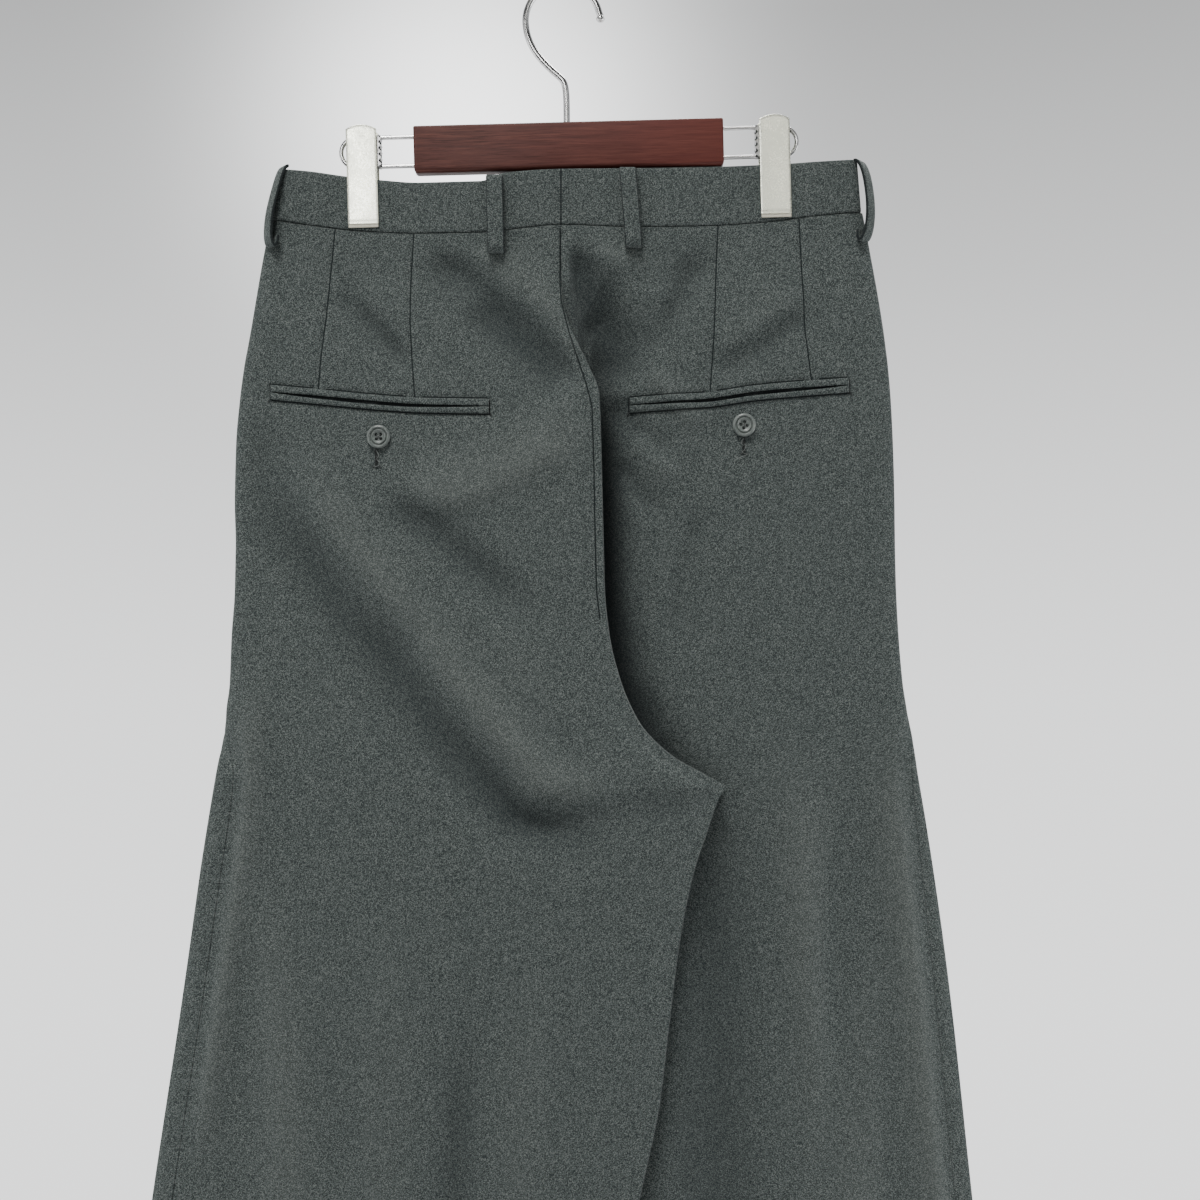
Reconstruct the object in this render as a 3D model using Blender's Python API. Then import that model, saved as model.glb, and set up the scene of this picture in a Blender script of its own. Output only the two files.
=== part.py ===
"""Pleated wide-leg dress trousers, held by a clip hanger with a wood bar.

Frame: metres, +Z up. The origin is the inside top of the hanger's hook, where a rail carries it.
The back of the trousers faces -Y, the front faces +Y, and the wearer's right is +X.
Sizes in the tables are millimetres, and "depth" is the distance below the origin.

The left half laps over the right at the seat, as the crotch points hang to the wearer's right.
So each half of the cloth above the crotch is one side of a folded tube, and each panel is a
wall swept through sections: a section is a smooth curve through a few named places.
"""
import math

import bpy
import bmesh
import numpy as np
from mathutils import Matrix, Vector
from mathutils.bvhtree import BVHTree

MM = 0.001

# ---------------------------------------------------------------- driving sizes, in mm
CLOTH = 1.1              # panel wall: suiting with its seam allowances
BAND = 2.4               # waistband wall: two layers and the canvas between
SEAM_GAP = 0.3           # between two pieces that are sewn together
BAND_GAP = 0.6           # between the panels and the waistband's lower edge
LAY_GAP = 0.45           # between a panel and what lies on it
CROTCH = 534.5           # depth of the point where the four panels meet
HEM = 1164.0             # depth of the hems

PLEAT_EDGE = (62.0, 97.0)    # folded edge of each front pleat, from the centre line
PLEAT_STEP = 3.0             # from one layer of a pleat to the next
LOOP_WIDTH = 11.0
LOOP_WALL = 2.0
LOOP_STAND = 4.7             # clear space behind a belt loop
BUTTON_RADIUS = 7.75
WELT_HEIGHT = 4.6

TILT = math.radians(1.5)     # the hanger hangs with its right end up
BAR_CENTRE = (4.0, 107.8)    # x and depth
BAR_SIZE = (207.0, 12.0, 31.4)
BAR_FRONT = -6.0             # the bar's front face
WIRE_RADIUS = 1.45
WIRE_OFFSET = (9.8, -9.6)    # the two runs of each wire, above the bar's middle
WIRE_HOLE = 1.8
HOOK_RADIUS = 2.2
STEM_X = 2.7
CLIP_PLACE = {"left": (-134.2, 127.2), "right": (141.5, 120.3)}
CLIP_SIZE = (20.5, 66.0)
CLIP_SHEET = 1.2
PAD_WALL = 1.3
END_STEP = 0.16              # where a section's first and last short steps end, in spans
MITRE = 1.7                  # how far a sharp fold's corner may reach, in wall halves


class Table:
    """A short table, read smoothly between its rows with no overshoot."""

    def __init__(self, names, *rows):
        self.columns = dict(zip(names.split(), np.array(rows, float).T))
        self.key = self.columns[names.split()[0]]

    def at(self, name, key):
        x, y = self.key, self.columns[name]
        step = np.diff(x)
        slope = np.diff(y) / step
        tangent = np.zeros(len(x))
        same = slope[:-1] * slope[1:] > 0
        both = slope[:-1] + slope[1:]
        tangent[1:-1][same] = 2 * slope[:-1][same] * slope[1:][same] / both[same]
        tangent[0] = slope[0]
        tangent[-1] = slope[-1]
        i = np.clip(np.searchsorted(x, key) - 1, 0, len(step) - 1)
        u = np.clip((key - x[i]) / step[i], 0, 1)
        ease = u * u * (3 - 2 * u)
        lead = (u ** 3 - 2 * u * u + u) * step[i] * tangent[i]
        trail = (u ** 3 - u * u) * step[i] * tangent[i + 1]
        return y[i] * (1 - ease) + y[i + 1] * ease + lead + trail


# ---------------------------------------------------------------- the garment's tables
# The outline from the back, and how far the side seam has turned on to the back.
OUTLINE = Table(
    "depth left right wrap_left wrap_right",
    (117, -184.0, 196.0, 0.0, 0.0),
    (157, -190.0, 201.0, 0.0, 0.0),
    (190, -200.8, 206.5, 0.0, 0.0),
    (231, -208.5, 214.5, 0.0, 0.0),
    (271, -215.0, 219.5, 0.0, 0.0),
    (331, -218.6, 222.3, 0.0, 0.0),
    (391, -217.1, 223.5, 0.0, 0.0),
    (431, -219.0, 225.5, 0.0, 0.0),
    (470, -220.1, 229.0, 0.0, 0.0),
    (510, -228.3, 236.7, 14.5, 4.2),
    (570, -238.8, 249.0, 18.3, 10.5),
    (670, -253.3, 264.1, 18.3, 14.6),
    (806, -274.5, 279.7, 18.5, 16.7),
    (1164, -325.1, 319.6, 18.1, 18.6),
)

# Where each panel ends at its inner seam (x), and the hidden folds of the right half.
EDGES = Table(
    "depth bl br fl fr under_back under_front",
    (163.0, -1.0, -1.0, 2.0, 2.0, 39.0, 42.0),
    (204.0, -0.9, -0.9, 2.0, 2.0, 39.0, 42.0),
    (214.0, 0.5, 0.5, 2.0, 2.0, 24.0, 42.0),
    (239.0, 8.5, 8.5, 2.0, 2.0, 11.2, 40.0),
    (260.0, 18.4, 18.4, 1.5, 1.5, 11.0, 34.0),
    (280.0, 24.6, 24.6, 1.0, 1.0, 7.0, 28.0),
    (322.0, 25.6, 25.6, -1.0, -1.0, 4.0, 12.0),
    (363.0, 26.7, 26.7, -4.0, -4.0, 3.0, 0.0),
    (385.0, 27.2, 27.2, -4.5, -4.5, 2.5, -5.0),
    (405.0, 27.8, 27.8, -1.0, -1.0, 2.5, -6.0),
    (430.0, 30.2, 30.2, 9.0, 9.0, 2.5, -6.0),
    (458.0, 36.0, 36.0, 23.0, 23.0, 2.5, -6.0),
    (477.0, 43.3, 43.3, 33.0, 33.0, 2.5, -6.0),
    (492.0, 50.5, 50.5, 42.0, 42.0, 2.5, -6.0),
    (505.0, 61.6, 61.6, 53.5, 53.5, 2.5, -6.0),
    (515.5, 74.0, 74.0, 66.0, 66.0, 2.5, -6.0),
    (524.0, 89.6, 89.6, 81.5, 81.5, 2.5, -6.0),
    (529.7, 99.4, 99.4, 92.5, 92.5, 2.5, -6.0),
    (534.5, 107.7, 107.7, 104.0, 104.0, 2.5, -6.0),
    (541.0, 103.0, 101.0, 103.0, 101.0, 2.0, -6.5),
    (558.0, 97.0, 92.0, 97.0, 92.0, 1.5, -7.0),
    (580.0, 88.8, 80.0, 88.8, 80.0, 1.0, -8.0),
    (615.0, 80.5, 66.0, 80.5, 66.0, -1.0, -10.0),
    (660.0, 73.2, 46.0, 73.2, 46.0, -5.0, -16.0),
    (700.0, 68.8, 25.0, 68.8, 25.0, -12.0, -24.0),
    (745.0, 63.2, -14.0, 63.2, -14.0, -28.0, -42.0),
    (785.0, 54.8, -33.0, 54.8, -33.0, -36.0, -50.0),
    (800.0, 51.5, -34.0, 51.5, -34.0, -33.5, -50.0),
    (812.0, 48.5, -34.0, 48.5, -34.0, -26.0, -50.0),
    (850.0, 40.5, -32.0, 40.5, -32.0, -16.0, -48.0),
    (900.0, 31.0, -27.0, 31.0, -27.0, -2.0, -42.0),
    (1020.0, 9.0, -8.0, 9.0, -8.0, 22.0, -23.0),
    (1164.0, -13.0, 18.0, -13.0, 18.0, 48.0, 4.0),
)

# How far toward the viewer of the back (-) or the front (+) each layer lies, at its inner end,
# its middle and its side.
LEVELS = Table(
    "depth bl_side bl_mid bl_in fl_side fl_mid fl_in br_in br_mid br_side fr_in fr_mid fr_side",
    (163, -4.8, -3.0, -9.0, 4.8, 3.0, 9.0, -9.0, -3.0, -4.8, 9.0, 3.0, 4.8),
    (204, -6.0, -8.0, -13.0, 5.0, 8.0, 12.0, -9.0, -8.0, -6.0, 12.0, 8.0, 6.0),
    (240, -8.0, -12.0, -17.0, 5.0, 10.0, 11.0, -5.5, -12.0, -7.0, 12.0, 11.0, 6.5),
    (280, -10.0, -16.0, -21.0, 3.0, 9.0, 9.0, -6.0, -13.0, -7.0, 13.0, 13.0, 7.0),
    (330, -12.0, -21.0, -23.0, 1.0, 5.0, 0.0, -6.5, -12.0, -6.5, 14.0, 14.0, 8.0),
    (385, -15.0, -25.0, -25.5, -2.0, 0.0, -14.0, -6.0, -11.0, -5.0, 14.0, 14.0, 9.0),
    (430, -18.0, -28.0, -27.0, -5.0, -5.0, -17.5, -6.0, -10.0, -4.0, 14.0, 15.0, 10.0),
    (480, -21.0, -31.0, -30.0, -8.0, -10.0, -18.0, -6.0, -9.0, -3.0, 14.0, 15.5, 11.0),
    (534, -24.0, -33.0, -31.0, -12.0, -13.0, -19.0, -6.0, -8.0, -2.0, 14.0, 16.0, 12.0),
    (600, -25.0, -34.0, -30.0, -13.0, -14.0, -18.5, -5.0, -7.0, -1.0, 14.0, 17.0, 13.0),
    (700, -25.0, -33.0, -28.0, -12.0, -14.0, -17.5, -4.0, -6.0, 0.0, 14.0, 17.0, 13.0),
    (807, -24.0, -32.0, -26.0, -11.0, -13.0, -16.0, -4.0, -6.0, 1.0, 13.0, 17.0, 13.0),
    (960, -22.0, -29.0, -23.0, -8.0, -10.0, -13.0, -5.0, -8.0, -1.0, 9.0, 14.0, 11.0),
    (1164, -19.0, -26.0, -20.0, -5.0, -7.0, -11.0, -7.0, -10.0, -4.0, 6.0, 10.0, 7.0),
)

# The layers at the inner seams, the two hidden layers of the right half, and how far each
# seam has turned from side by side (0) to face to face round a folded edge (1).
TIPS = Table(
    "depth bl fl fr br fin_front fin_back turn_back turn_front",
    (163.0, -9.0, 9.0, 9.0, -9.0, 9.0, -9.0, 0.0, 0.0),
    (204.0, -13.2, 12.0, 12.0, -13.2, 12.0, -12.5, 0.0, 0.0),
    (214.0, -14.5, 12.0, 12.0, -13.6, 12.0, -12.5, 0.05, 0.0),
    (234.0, -17.1, 11.2, 11.7, -14.2, 12.0, -13.8, 0.1, 0.0),
    (244.0, -18.2, 10.8, 11.4, -14.6, 12.0, -14.2, 1.0, 0.0),
    (260.0, -19.5, 10.0, 11.0, -15.6, 12.0, -15.0, 1.0, 0.1),
    (280.0, -21.0, 9.0, 10.5, -16.6, 11.0, -15.5, 1.0, 0.3),
    (322.0, -23.0, 1.0, 3.6, -17.0, 5.0, -15.0, 1.0, 1.0),
    (363.0, -25.0, -8.5, -6.0, -16.0, -5.0, -13.0, 1.0, 1.0),
    (385.0, -25.8, -14.0, -11.8, -14.6, -10.5, -11.0, 1.0, 1.0),
    (405.0, -26.2, -16.8, -13.8, -11.8, -13.2, -10.4, 1.0, 1.0),
    (430.0, -27.0, -17.7, -14.5, -11.0, -14.2, -10.6, 1.0, 1.0),
    (477.0, -26.5, -18.0, -14.8, -11.0, -15.0, -11.0, 1.0, 1.0),
    (505.0, -24.5, -17.6, -14.4, -11.0, -15.0, -11.0, 1.0, 1.0),
    (516.0, -22.8, -17.3, -14.2, -10.9, -15.0, -11.0, 1.0, 1.0),
    (525.5, -21.2, -17.0, -13.9, -10.9, -15.0, -11.0, 0.6, 0.6),
    (534.5, -19.2, -16.6, -13.8, -11.0, -15.0, -11.0, 0.0, 0.0),
    (541.0, -20.0, -16.6, -13.8, -10.6, -15.0, -11.0, 0.6, 0.6),
    (558.0, -22.0, -16.7, -13.7, -10.4, -14.8, -10.8, 1.0, 1.0),
    (580.0, -24.0, -16.9, -13.6, -10.2, -14.4, -10.4, 1.0, 1.0),
    (615.0, -26.0, -17.2, -13.4, -9.8, -14.0, -9.8, 1.0, 1.0),
    (700.0, -26.0, -17.0, -12.8, -9.2, -13.0, -9.0, 1.0, 1.0),
    (745.0, -25.4, -16.6, -12.0, -8.6, -12.2, -8.4, 1.0, 1.0),
    (785.0, -25.0, -16.2, -11.2, -8.2, -11.2, -7.5, 1.0, 1.0),
    (800.0, -24.8, -16.0, -11.0, -8.0, -11.0, -7.2, 1.0, 1.0),
    (812.0, -24.6, -15.8, -9.8, -8.8, -10.2, -6.8, 0.0, 1.0),
    (900.0, -22.8, -14.4, -8.0, -8.0, -9.0, -6.5, 0.0, 1.0),
    (1164.0, -20.0, -11.0, -8.5, -8.5, -8.5, -8.5, 0.0, 1.0),
)

# The waistband's seam and top edge, and half the space between back and front there.
WAIST = Table(
    "x seam top gap",
    (-192, 157.2, 123.8, 5.6),
    (-172, 160.2, 125.3, 5.5),
    (-154, 162.6, 127.0, 2.3),
    (-147, 163.4, 127.8, 2.2),
    (-119, 165.3, 130.6, 2.2),
    (-95, 166.1, 132.5, 4.2),
    (-55, 166.0, 132.3, 7.4),
    (-38, 164.6, 127.0, 8.2),
    (0, 161.4, 124.6, 9.0),
    (42, 162.6, 124.1, 8.2),
    (92, 161.2, 122.3, 4.4),
    (127, 159.0, 120.5, 2.2),
    (155, 156.0, 119.2, 2.2),
    (161, 155.3, 118.9, 2.4),
    (179, 153.5, 118.2, 5.5),
    (202, 151.8, 117.2, 5.6),
)

# How deep each front pleat folds under itself. Below zero it has opened out.
PLEATS = Table(
    "depth first second",
    (163, 12.0, 11.0),
    (205, 11.5, 10.0),
    (245, 9.0, 6.5),
    (285, 4.5, 1.0),
    (320, -1.0, -5.0),
    (360, -8.0, -12.0),
    (400, -12.0, -12.0),
)

# The largest folds of the back: a line from one end to the other, its half width, and how far
# the cloth goes in (+) or comes out (-).
DRAPE = (
    # x0, depth0, x1, depth1, half width, depth of fold
    (-72, 186, 6, 256, 11, 4.0),
    (-193, 318, -107, 438, 17, 3.0),
    (-107, 438, -41, 537, 17, 3.2),
    (-96, 340, -6, 300, 14, -2.6),
    (-98, 356, -30, 418, 15, 2.6),
    (-24, 556, 70, 548, 13, 3.6),
    (-133, 203, -107, 227, 10, 1.6),
    (92, 182, 60, 232, 12, 2.4),
    (104, 253, 158, 226, 10, 1.8),
)

SECTION_DEPTHS = (
    163, 188, 212, 234, 244, 255, 276, 308, 345, 375, 405, 435, 466, 486, 496, 506, 516, 525.5, CROTCH,
    541, 560, 590, 640, 696, 745, 785, 800, 812, 850, 960, HEM,
)


# ---------------------------------------------------------------- section curves
def places_along(steps):
    """Where a section's columns lie, in spans, with so many steps in each span.

    One more place close to each end keeps the end square to its neighbour's.
    """
    spans = len(steps)
    where = [span + step / steps[span] for span in range(spans) for step in range(steps[span])]
    return np.array(where[:1] + [END_STEP] + where[1:] + [spans - END_STEP, spans])


def spline(points, where):
    """A clamped cubic B-spline near the control points, read at places counted in spans."""
    points = np.array(points, float)
    spans = len(points) - 3
    knots = np.concatenate(([0] * 3, np.arange(spans + 1), [spans] * 3)).astype(float)
    where = np.minimum(where, spans - 1e-9)
    basis = [(knots[i] <= where) & (where < knots[i + 1]) for i in range(len(knots) - 1)]
    basis = np.array(basis, float)
    for degree in (1, 2, 3):
        raised = []
        for i in range(len(basis) - 1):
            rise = knots[i + degree] - knots[i]
            fall = knots[i + degree + 1] - knots[i + 1]
            left = (where - knots[i]) / rise * basis[i] if rise else 0 * where
            right = (knots[i + degree + 1] - where) / fall * basis[i + 1] if fall else 0 * where
            raised.append(left + right)
        basis = np.array(raised)
    return basis.T @ points


def spread_evenly(points, where, spans, share):
    """Move the places within the first spans toward even distances along the curve."""
    fine = np.linspace(0, spans, 40 * spans + 1)
    line = spline(points, fine)
    run = np.concatenate(([0], np.cumsum(np.linalg.norm(np.diff(line, axis=0), axis=1))))
    count = int(np.sum(where <= spans))
    before = np.interp(where[1:count], fine, run)
    even = np.linspace(before[0], before[-1], count - 1)
    moved = where.copy()
    moved[1:count] = np.interp(mix(before, even, share), run, fine)
    return moved


def mix(a, b, share):
    return np.asarray(a) + (np.asarray(b) - np.asarray(a)) * share


def smooth(share):
    share = min(max(share, 0.0), 1.0)
    return share * share * (3 - 2 * share)


def level(panel, x, depth):
    """How far toward -Y or +Y a panel lies at x, away from its seams."""
    outer = abs(OUTLINE.at("left" if panel[1] == "l" else "right", depth))
    inner = -min(abs(EDGES.at(panel, depth)), 40.0) if panel[1] == "l" else 0.0
    share = min(max((abs(x) - inner) / (outer - 20 - inner), 0.0), 1.0)
    if x * (-1 if panel[1] == "l" else 1) < 0:
        share = 0.0
    ends = [LEVELS.at(f"{panel}_{place}", depth) for place in ("in", "mid", "side")]
    free = mix(ends[0], ends[1], smooth(share * 2)) if share < 0.5 else mix(ends[1], ends[2], share * 2 - 1)
    pinched = WAIST.at("gap", x) * (-1 if panel[0] == "b" else 1)
    return mix(pinched, free, smooth((depth - 163) / 48))


def side_points(side, face, depth):
    """Three places where a panel meets its side seam, from the seam inward."""
    sign = -1 if side == "l" else 1
    name = "left" if side == "l" else "right"
    edge = OUTLINE.at(name, depth) - sign * CLOTH / 2
    wrap = OUTLINE.at(f"wrap_{name}", depth)
    turned = smooth((depth - 472) / 60)
    back = LEVELS.at(f"b{side}_side", depth)
    front = LEVELS.at(f"f{side}_side", depth)
    seam = mix(np.array([edge, (back + front) / 2]), np.array([edge - sign * wrap, back]), turned)
    along = mix(np.array([0, -1.0]), np.array([-sign, 0]), turned)
    along /= np.linalg.norm(along)
    half = (front - back) / 2
    if face == "b":
        start = seam + along * SEAM_GAP / 2
        corner = seam + along * mix(half, 6, turned)
        beyond = [mix(edge, edge - sign * wrap, turned) - sign * 14, back]
    else:
        start = seam - along * SEAM_GAP / 2
        corner = seam - along * mix(half, wrap, turned)
        beyond = [edge - sign * 9 * (1 - turned), front]
    return [start, corner, beyond]


def pleat_points(side, depth):
    """Each pleat is a fold edge, a layer that runs back under it, and a layer that runs on."""
    sign = -1 if side == "l" else 1
    points = []
    for name, edge in zip(("first", "second"), PLEAT_EDGE):
        under = PLEATS.at(name, depth)
        step = PLEAT_STEP * smooth((under + 12) / 16)
        loose = 1 - min(max(under / 8, 0.0), 1.0)
        opened = max(-under / 12, 0.0)
        back = edge - max(under, 0.0)
        places = ((edge - 7, 0), (edge - loose * 1.5 - opened * 0.5, 0),
                  (edge - loose * 0.5 + opened * 2.5, 1), (back + loose * 0.5 + opened * 9.5, 1),
                  (back + loose * 1.5 + opened * 12.5, 2), (edge + 9 + 11 * opened, 2))
        for x, layer in places:
            base = level("f" + side, sign * x, depth)
            points.append([sign * x, base - step * layer])
    return points


def seam_level(panel, depth):
    """The height in Y where a panel meets its neighbour at the inner seam."""
    mates = {"bl": "br", "br": "bl", "fl": "fr", "fr": "fl"}
    if depth > CROTCH:
        mates = {"bl": "fl", "fl": "bl", "fr": "br", "br": "fr"}
    return (TIPS.at(panel, depth) + TIPS.at(mates[panel], depth)) / 2


def panel_turn(panel, depth):
    if depth > CROTCH and panel[1] == "l":
        return smooth((depth - CROTCH) / 11)
    if depth > CROTCH:
        return TIPS.at("turn_back", depth)
    return TIPS.at("turn_back" if panel[0] == "b" else "turn_front", depth)


def left_path(face, depth):
    """A left panel's section, from its side seam to its inner seam."""
    panel = face + "l"
    tip = EDGES.at(panel, depth)
    near = TIPS.at(panel, depth)
    turn = panel_turn(panel, depth)
    gap = SEAM_GAP / 2
    toward = 1 if seam_level(panel, depth) >= near else -1
    points = side_points("l", face, depth)
    if face == "b":
        start = points[-1][0] + 16
        stations = [mix(start, tip - 16, share) for share in (0, 0.25, 0.5, 0.75, 1)]
        points += [[x, level(panel, x, depth)] for x in stations]
    else:
        points += [[-150, level(panel, -150, depth)]]
        points += pleat_points("l", depth)[::-1]
        points += [[x, level(panel, x, depth)]
                   for x in (mix(-50, tip - 13, share) for share in (0.1, 0.55, 1))]
    end = mix(near, seam_level(panel, depth) - toward * gap, turn)
    points += [[tip - 8, near], [tip - 1 - 4 * (1 - turn), near],
               [tip - 2.5 * (1 - turn), near], [tip - gap * (1 - turn), end]]
    return points


def right_path(face, depth):
    """A right panel's section, from its inner seam, round its hidden fold, to its side seam."""
    panel = face + "r"
    tip = EDGES.at(panel, depth)
    under = EDGES.at("under_back" if face == "b" else "under_front", depth)
    near = TIPS.at(panel, depth)
    fin = TIPS.at("fin_back" if face == "b" else "fin_front", depth)
    main = level(panel, max(under, 0) + 6, depth)
    turn = panel_turn(panel, depth)
    gap = SEAM_GAP / 2
    toward = 1 if seam_level(panel, depth) > near else -1
    hidden = tip - under
    folded = min(max(hidden / 12, -1.0), 1.0)
    lead = min(max(hidden * 0.35, -8.0), 8.0)
    end = mix(near, seam_level(panel, depth) - toward * gap, turn)
    points = [
        [tip - gap * folded * (1 - turn), end],
        [tip - 3 * folded * (1 - turn), near],
        [tip - folded * (1 + 4 * (1 - turn)), near],
        [tip - lead, mix(near, fin, 0.5)],
        [(tip + under) / 2, fin],
        [under + lead * 0.75, fin],
        [under - 1 + folded, fin],
        [under + 1 - folded, main],
        [under + 7, main],
    ]
    side = side_points("r", face, depth)[::-1]
    if face == "b":
        stations = [mix(under + 22, side[0][0] - 16, share) for share in (0, 0.33, 0.67, 1)]
        points += [[x, level(panel, x, depth)] for x in stations]
    else:
        points += [[mix(under + 12, 50, 0.5), level(panel, 30, depth)]]
        points += pleat_points("r", depth)
        points += [[150, level(panel, 150, depth)]]
    return points + side


def drape(x, depth):
    """How far the large folds of the back move the cloth along Y at one place."""
    moved = 0.0
    for x0, d0, x1, d1, width, amount in DRAPE:
        run = np.array([x1 - x0, d1 - d0], float)
        length = np.linalg.norm(run)
        run /= length
        along = (x - x0) * run[0] + (depth - d0) * run[1]
        across = -(x - x0) * run[1] + (depth - d0) * run[0]
        past = max(-along, along - length, 0.0) / (width * 1.4)
        moved += amount * math.exp(-(across / width) ** 2 - past ** 2)
    return moved


def drape_share(panel, x, depth):
    """The large folds fade out at a panel's seams, so that the pieces still meet there."""
    name = "left" if panel == "bl" else "right"
    inner = abs(x - EDGES.at("bl", depth))
    outer = abs(OUTLINE.at(name, depth)) - OUTLINE.at(f"wrap_{name}", depth) - abs(x)
    return smooth(inner / 22) * smooth((outer - 2) / 16) * smooth((depth - 163) / 26)


def hang(x, depth):
    """The true depth of a place: the first sections follow the waistband's sagging seam."""
    share = 1 - smooth((depth - 163) / 110)
    return depth + (WAIST.at("seam", x) + BAND_GAP - 163) * share


HIDDEN_SPANS = 6             # spans of the right back that make its hidden fold
STEPS = {
    "bl": [2] * 7 + [1, 1],
    "br": [1, 1, 1, 1, 1, 2, 1, 2, 2, 2, 2, 2, 2],
    "fl": [2, 2] + [1] * 12 + [2, 2, 1, 1, 1, 1],
    "fr": [1, 1, 1, 1, 1, 2, 1, 1, 2] + [1] * 12 + [2, 2],
}


def panel_grid(panel):
    """Rows of places in metres, one row for each section from waist to hem."""
    path = left_path if panel[1] == "l" else right_path
    rows = []
    for depth in SECTION_DEPTHS:
        control = path(panel[0], depth)
        where = places_along(STEPS[panel])
        if panel == "br":
            hidden = EDGES.at("br", depth) - EDGES.at("under_back", depth)
            where = spread_evenly(control, where, HIDDEN_SPANS, 1 - min(abs(hidden) / 14, 1))
        curve = spline(control, where)
        row = []
        for x, y in curve:
            if panel[0] == "b" and visible(panel, x, y, depth):
                y += drape(x, depth) * drape_share(panel, x, depth)
            row.append((x * MM, y * MM, -hang(x, depth) * MM))
        rows.append(row)
    return rows


def visible(panel, x, y, depth):
    """True where a back panel shows from the back, not on its hidden layer."""
    if panel == "bl":
        return True
    return x > EDGES.at("under_back", depth) + 4 and y > TIPS.at("fin_back", depth) + 2


# ---------------------------------------------------------------- Blender helpers
def clear_scene():
    for item in list(bpy.data.objects):
        bpy.data.objects.remove(item, do_unlink=True)


def material(name, colour, roughness, metallic=0.0):
    made = bpy.data.materials.new(name)
    made.use_nodes = True
    shader = made.node_tree.nodes["Principled BSDF"]
    shader.inputs["Base Color"].default_value = (*colour, 1)
    shader.inputs["Roughness"].default_value = roughness
    shader.inputs["Metallic"].default_value = metallic
    made.diffuse_color = (*colour, 1)
    return made


def add(name, mesh, finish):
    item = bpy.data.objects.new(name, mesh)
    bpy.context.scene.collection.objects.link(item)
    mesh.materials.append(finish)
    return item


def mesh_of(name, vertices, faces):
    mesh = bpy.data.meshes.new(name)
    mesh.from_pydata([tuple(v) for v in vertices], [], faces)
    mesh.validate()
    return mesh


def sheet(name, rows, thickness, finish):
    """A closed wall round a grid of places, half its thickness to each side."""
    wide = len(rows[0])
    vertices = [place for row in rows for place in row]
    faces = [(r * wide + c, r * wide + c + 1, (r + 1) * wide + c + 1, (r + 1) * wide + c)
             for r in range(len(rows) - 1) for c in range(wide - 1)]
    item = add(name, mesh_of(name, vertices, faces), finish)
    wall = item.modifiers.new("wall", "SOLIDIFY")
    wall.thickness = thickness * MM
    wall.offset = 0
    return item


def panel_wall(name, rows, finish):
    """A closed wall round the sections of a panel, even in thickness round its sharp folds."""
    outer = []
    inner = []
    for row in rows:
        places = np.array(row)
        step = np.diff(places[:, :2], axis=0)
        step /= np.linalg.norm(step, axis=1)[:, None]
        square = np.column_stack((-step[:, 1], step[:, 0]))
        away = np.vstack((square[:1], (square[:-1] + square[1:]) / 2, square[-1:]))
        size = np.linalg.norm(away, axis=1)[:, None]
        away *= CLOTH / 2 * MM * np.minimum(1 / size, MITRE) / size
        away = np.column_stack((away, np.zeros(len(away))))
        outer += list(places + away)
        inner += list(places - away)
    wide = len(rows[0])
    count = len(outer)
    faces = []
    for a in (r * wide + c for r in range(len(rows) - 1) for c in range(wide - 1)):
        faces += [(a, a + 1, a + wide + 1), (a, a + wide + 1, a + wide)]
    faces += [tuple(count + i for i in reversed(face)) for face in faces]
    last = (len(rows) - 1) * wide
    rim = list(range(wide)) + [r * wide + wide - 1 for r in range(1, len(rows))]
    rim += list(range(last + wide - 2, last - 1, -1)) + [r * wide for r in range(len(rows) - 2, 0, -1)]
    for a, b in zip(rim, rim[1:] + rim[:1]):
        faces.append((b, a, count + a, count + b))
    item = add(name, mesh_of(name, outer + inner, faces), finish)
    make_outward(item)
    return item


def evaluated_mesh(item):
    bpy.context.view_layer.update()
    graph = bpy.context.evaluated_depsgraph_get()
    return bpy.data.meshes.new_from_object(item.evaluated_get(graph))


def surface_of(*items):
    """A tree of the finished faces of these objects, to lay other pieces on."""
    vertices = []
    faces = []
    for item in items:
        mesh = evaluated_mesh(item)
        first = len(vertices)
        vertices += [item.matrix_world @ v.co for v in mesh.vertices]
        faces += [tuple(first + i for i in face.vertices) for face in mesh.polygons]
        bpy.data.meshes.remove(mesh)
    return BVHTree.FromPolygons(vertices, faces)


def lay(tree, x, depth, out, facing=-1):
    """The place on a surface at x and depth, seen from the back (-1) or front (+1), moved out."""
    start = Vector((x * MM, facing * 0.2, -depth * MM))
    hit = tree.ray_cast(start, Vector((0, -facing, 0)))[0]
    return (x * MM, hit.y + facing * out * MM, -depth * MM)


def cut(item, cutter):
    """Take a cutter's shape out of an object for good, and remove the cutter."""
    boolean = item.modifiers.new("cut", "BOOLEAN")
    boolean.operation = "DIFFERENCE"
    boolean.object = cutter
    boolean.solver = "EXACT"
    mesh = evaluated_mesh(item)
    item.modifiers.remove(boolean)
    item.data = mesh
    bpy.data.objects.remove(cutter, do_unlink=True)


def cylinder(name, radius, length, sides, finish, turn=None, place=(0, 0, 0)):
    mesh = bpy.data.meshes.new(name)
    shape = bmesh.new()
    bmesh.ops.create_cone(shape, cap_ends=True, segments=sides, radius1=radius * MM,
                          radius2=radius * MM, depth=length * MM)
    if turn is not None:
        bmesh.ops.transform(shape, matrix=turn, verts=shape.verts)
    bmesh.ops.translate(shape, vec=Vector(place) * MM, verts=shape.verts)
    shape.to_mesh(mesh)
    shape.free()
    return add(name, mesh, finish)


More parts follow.
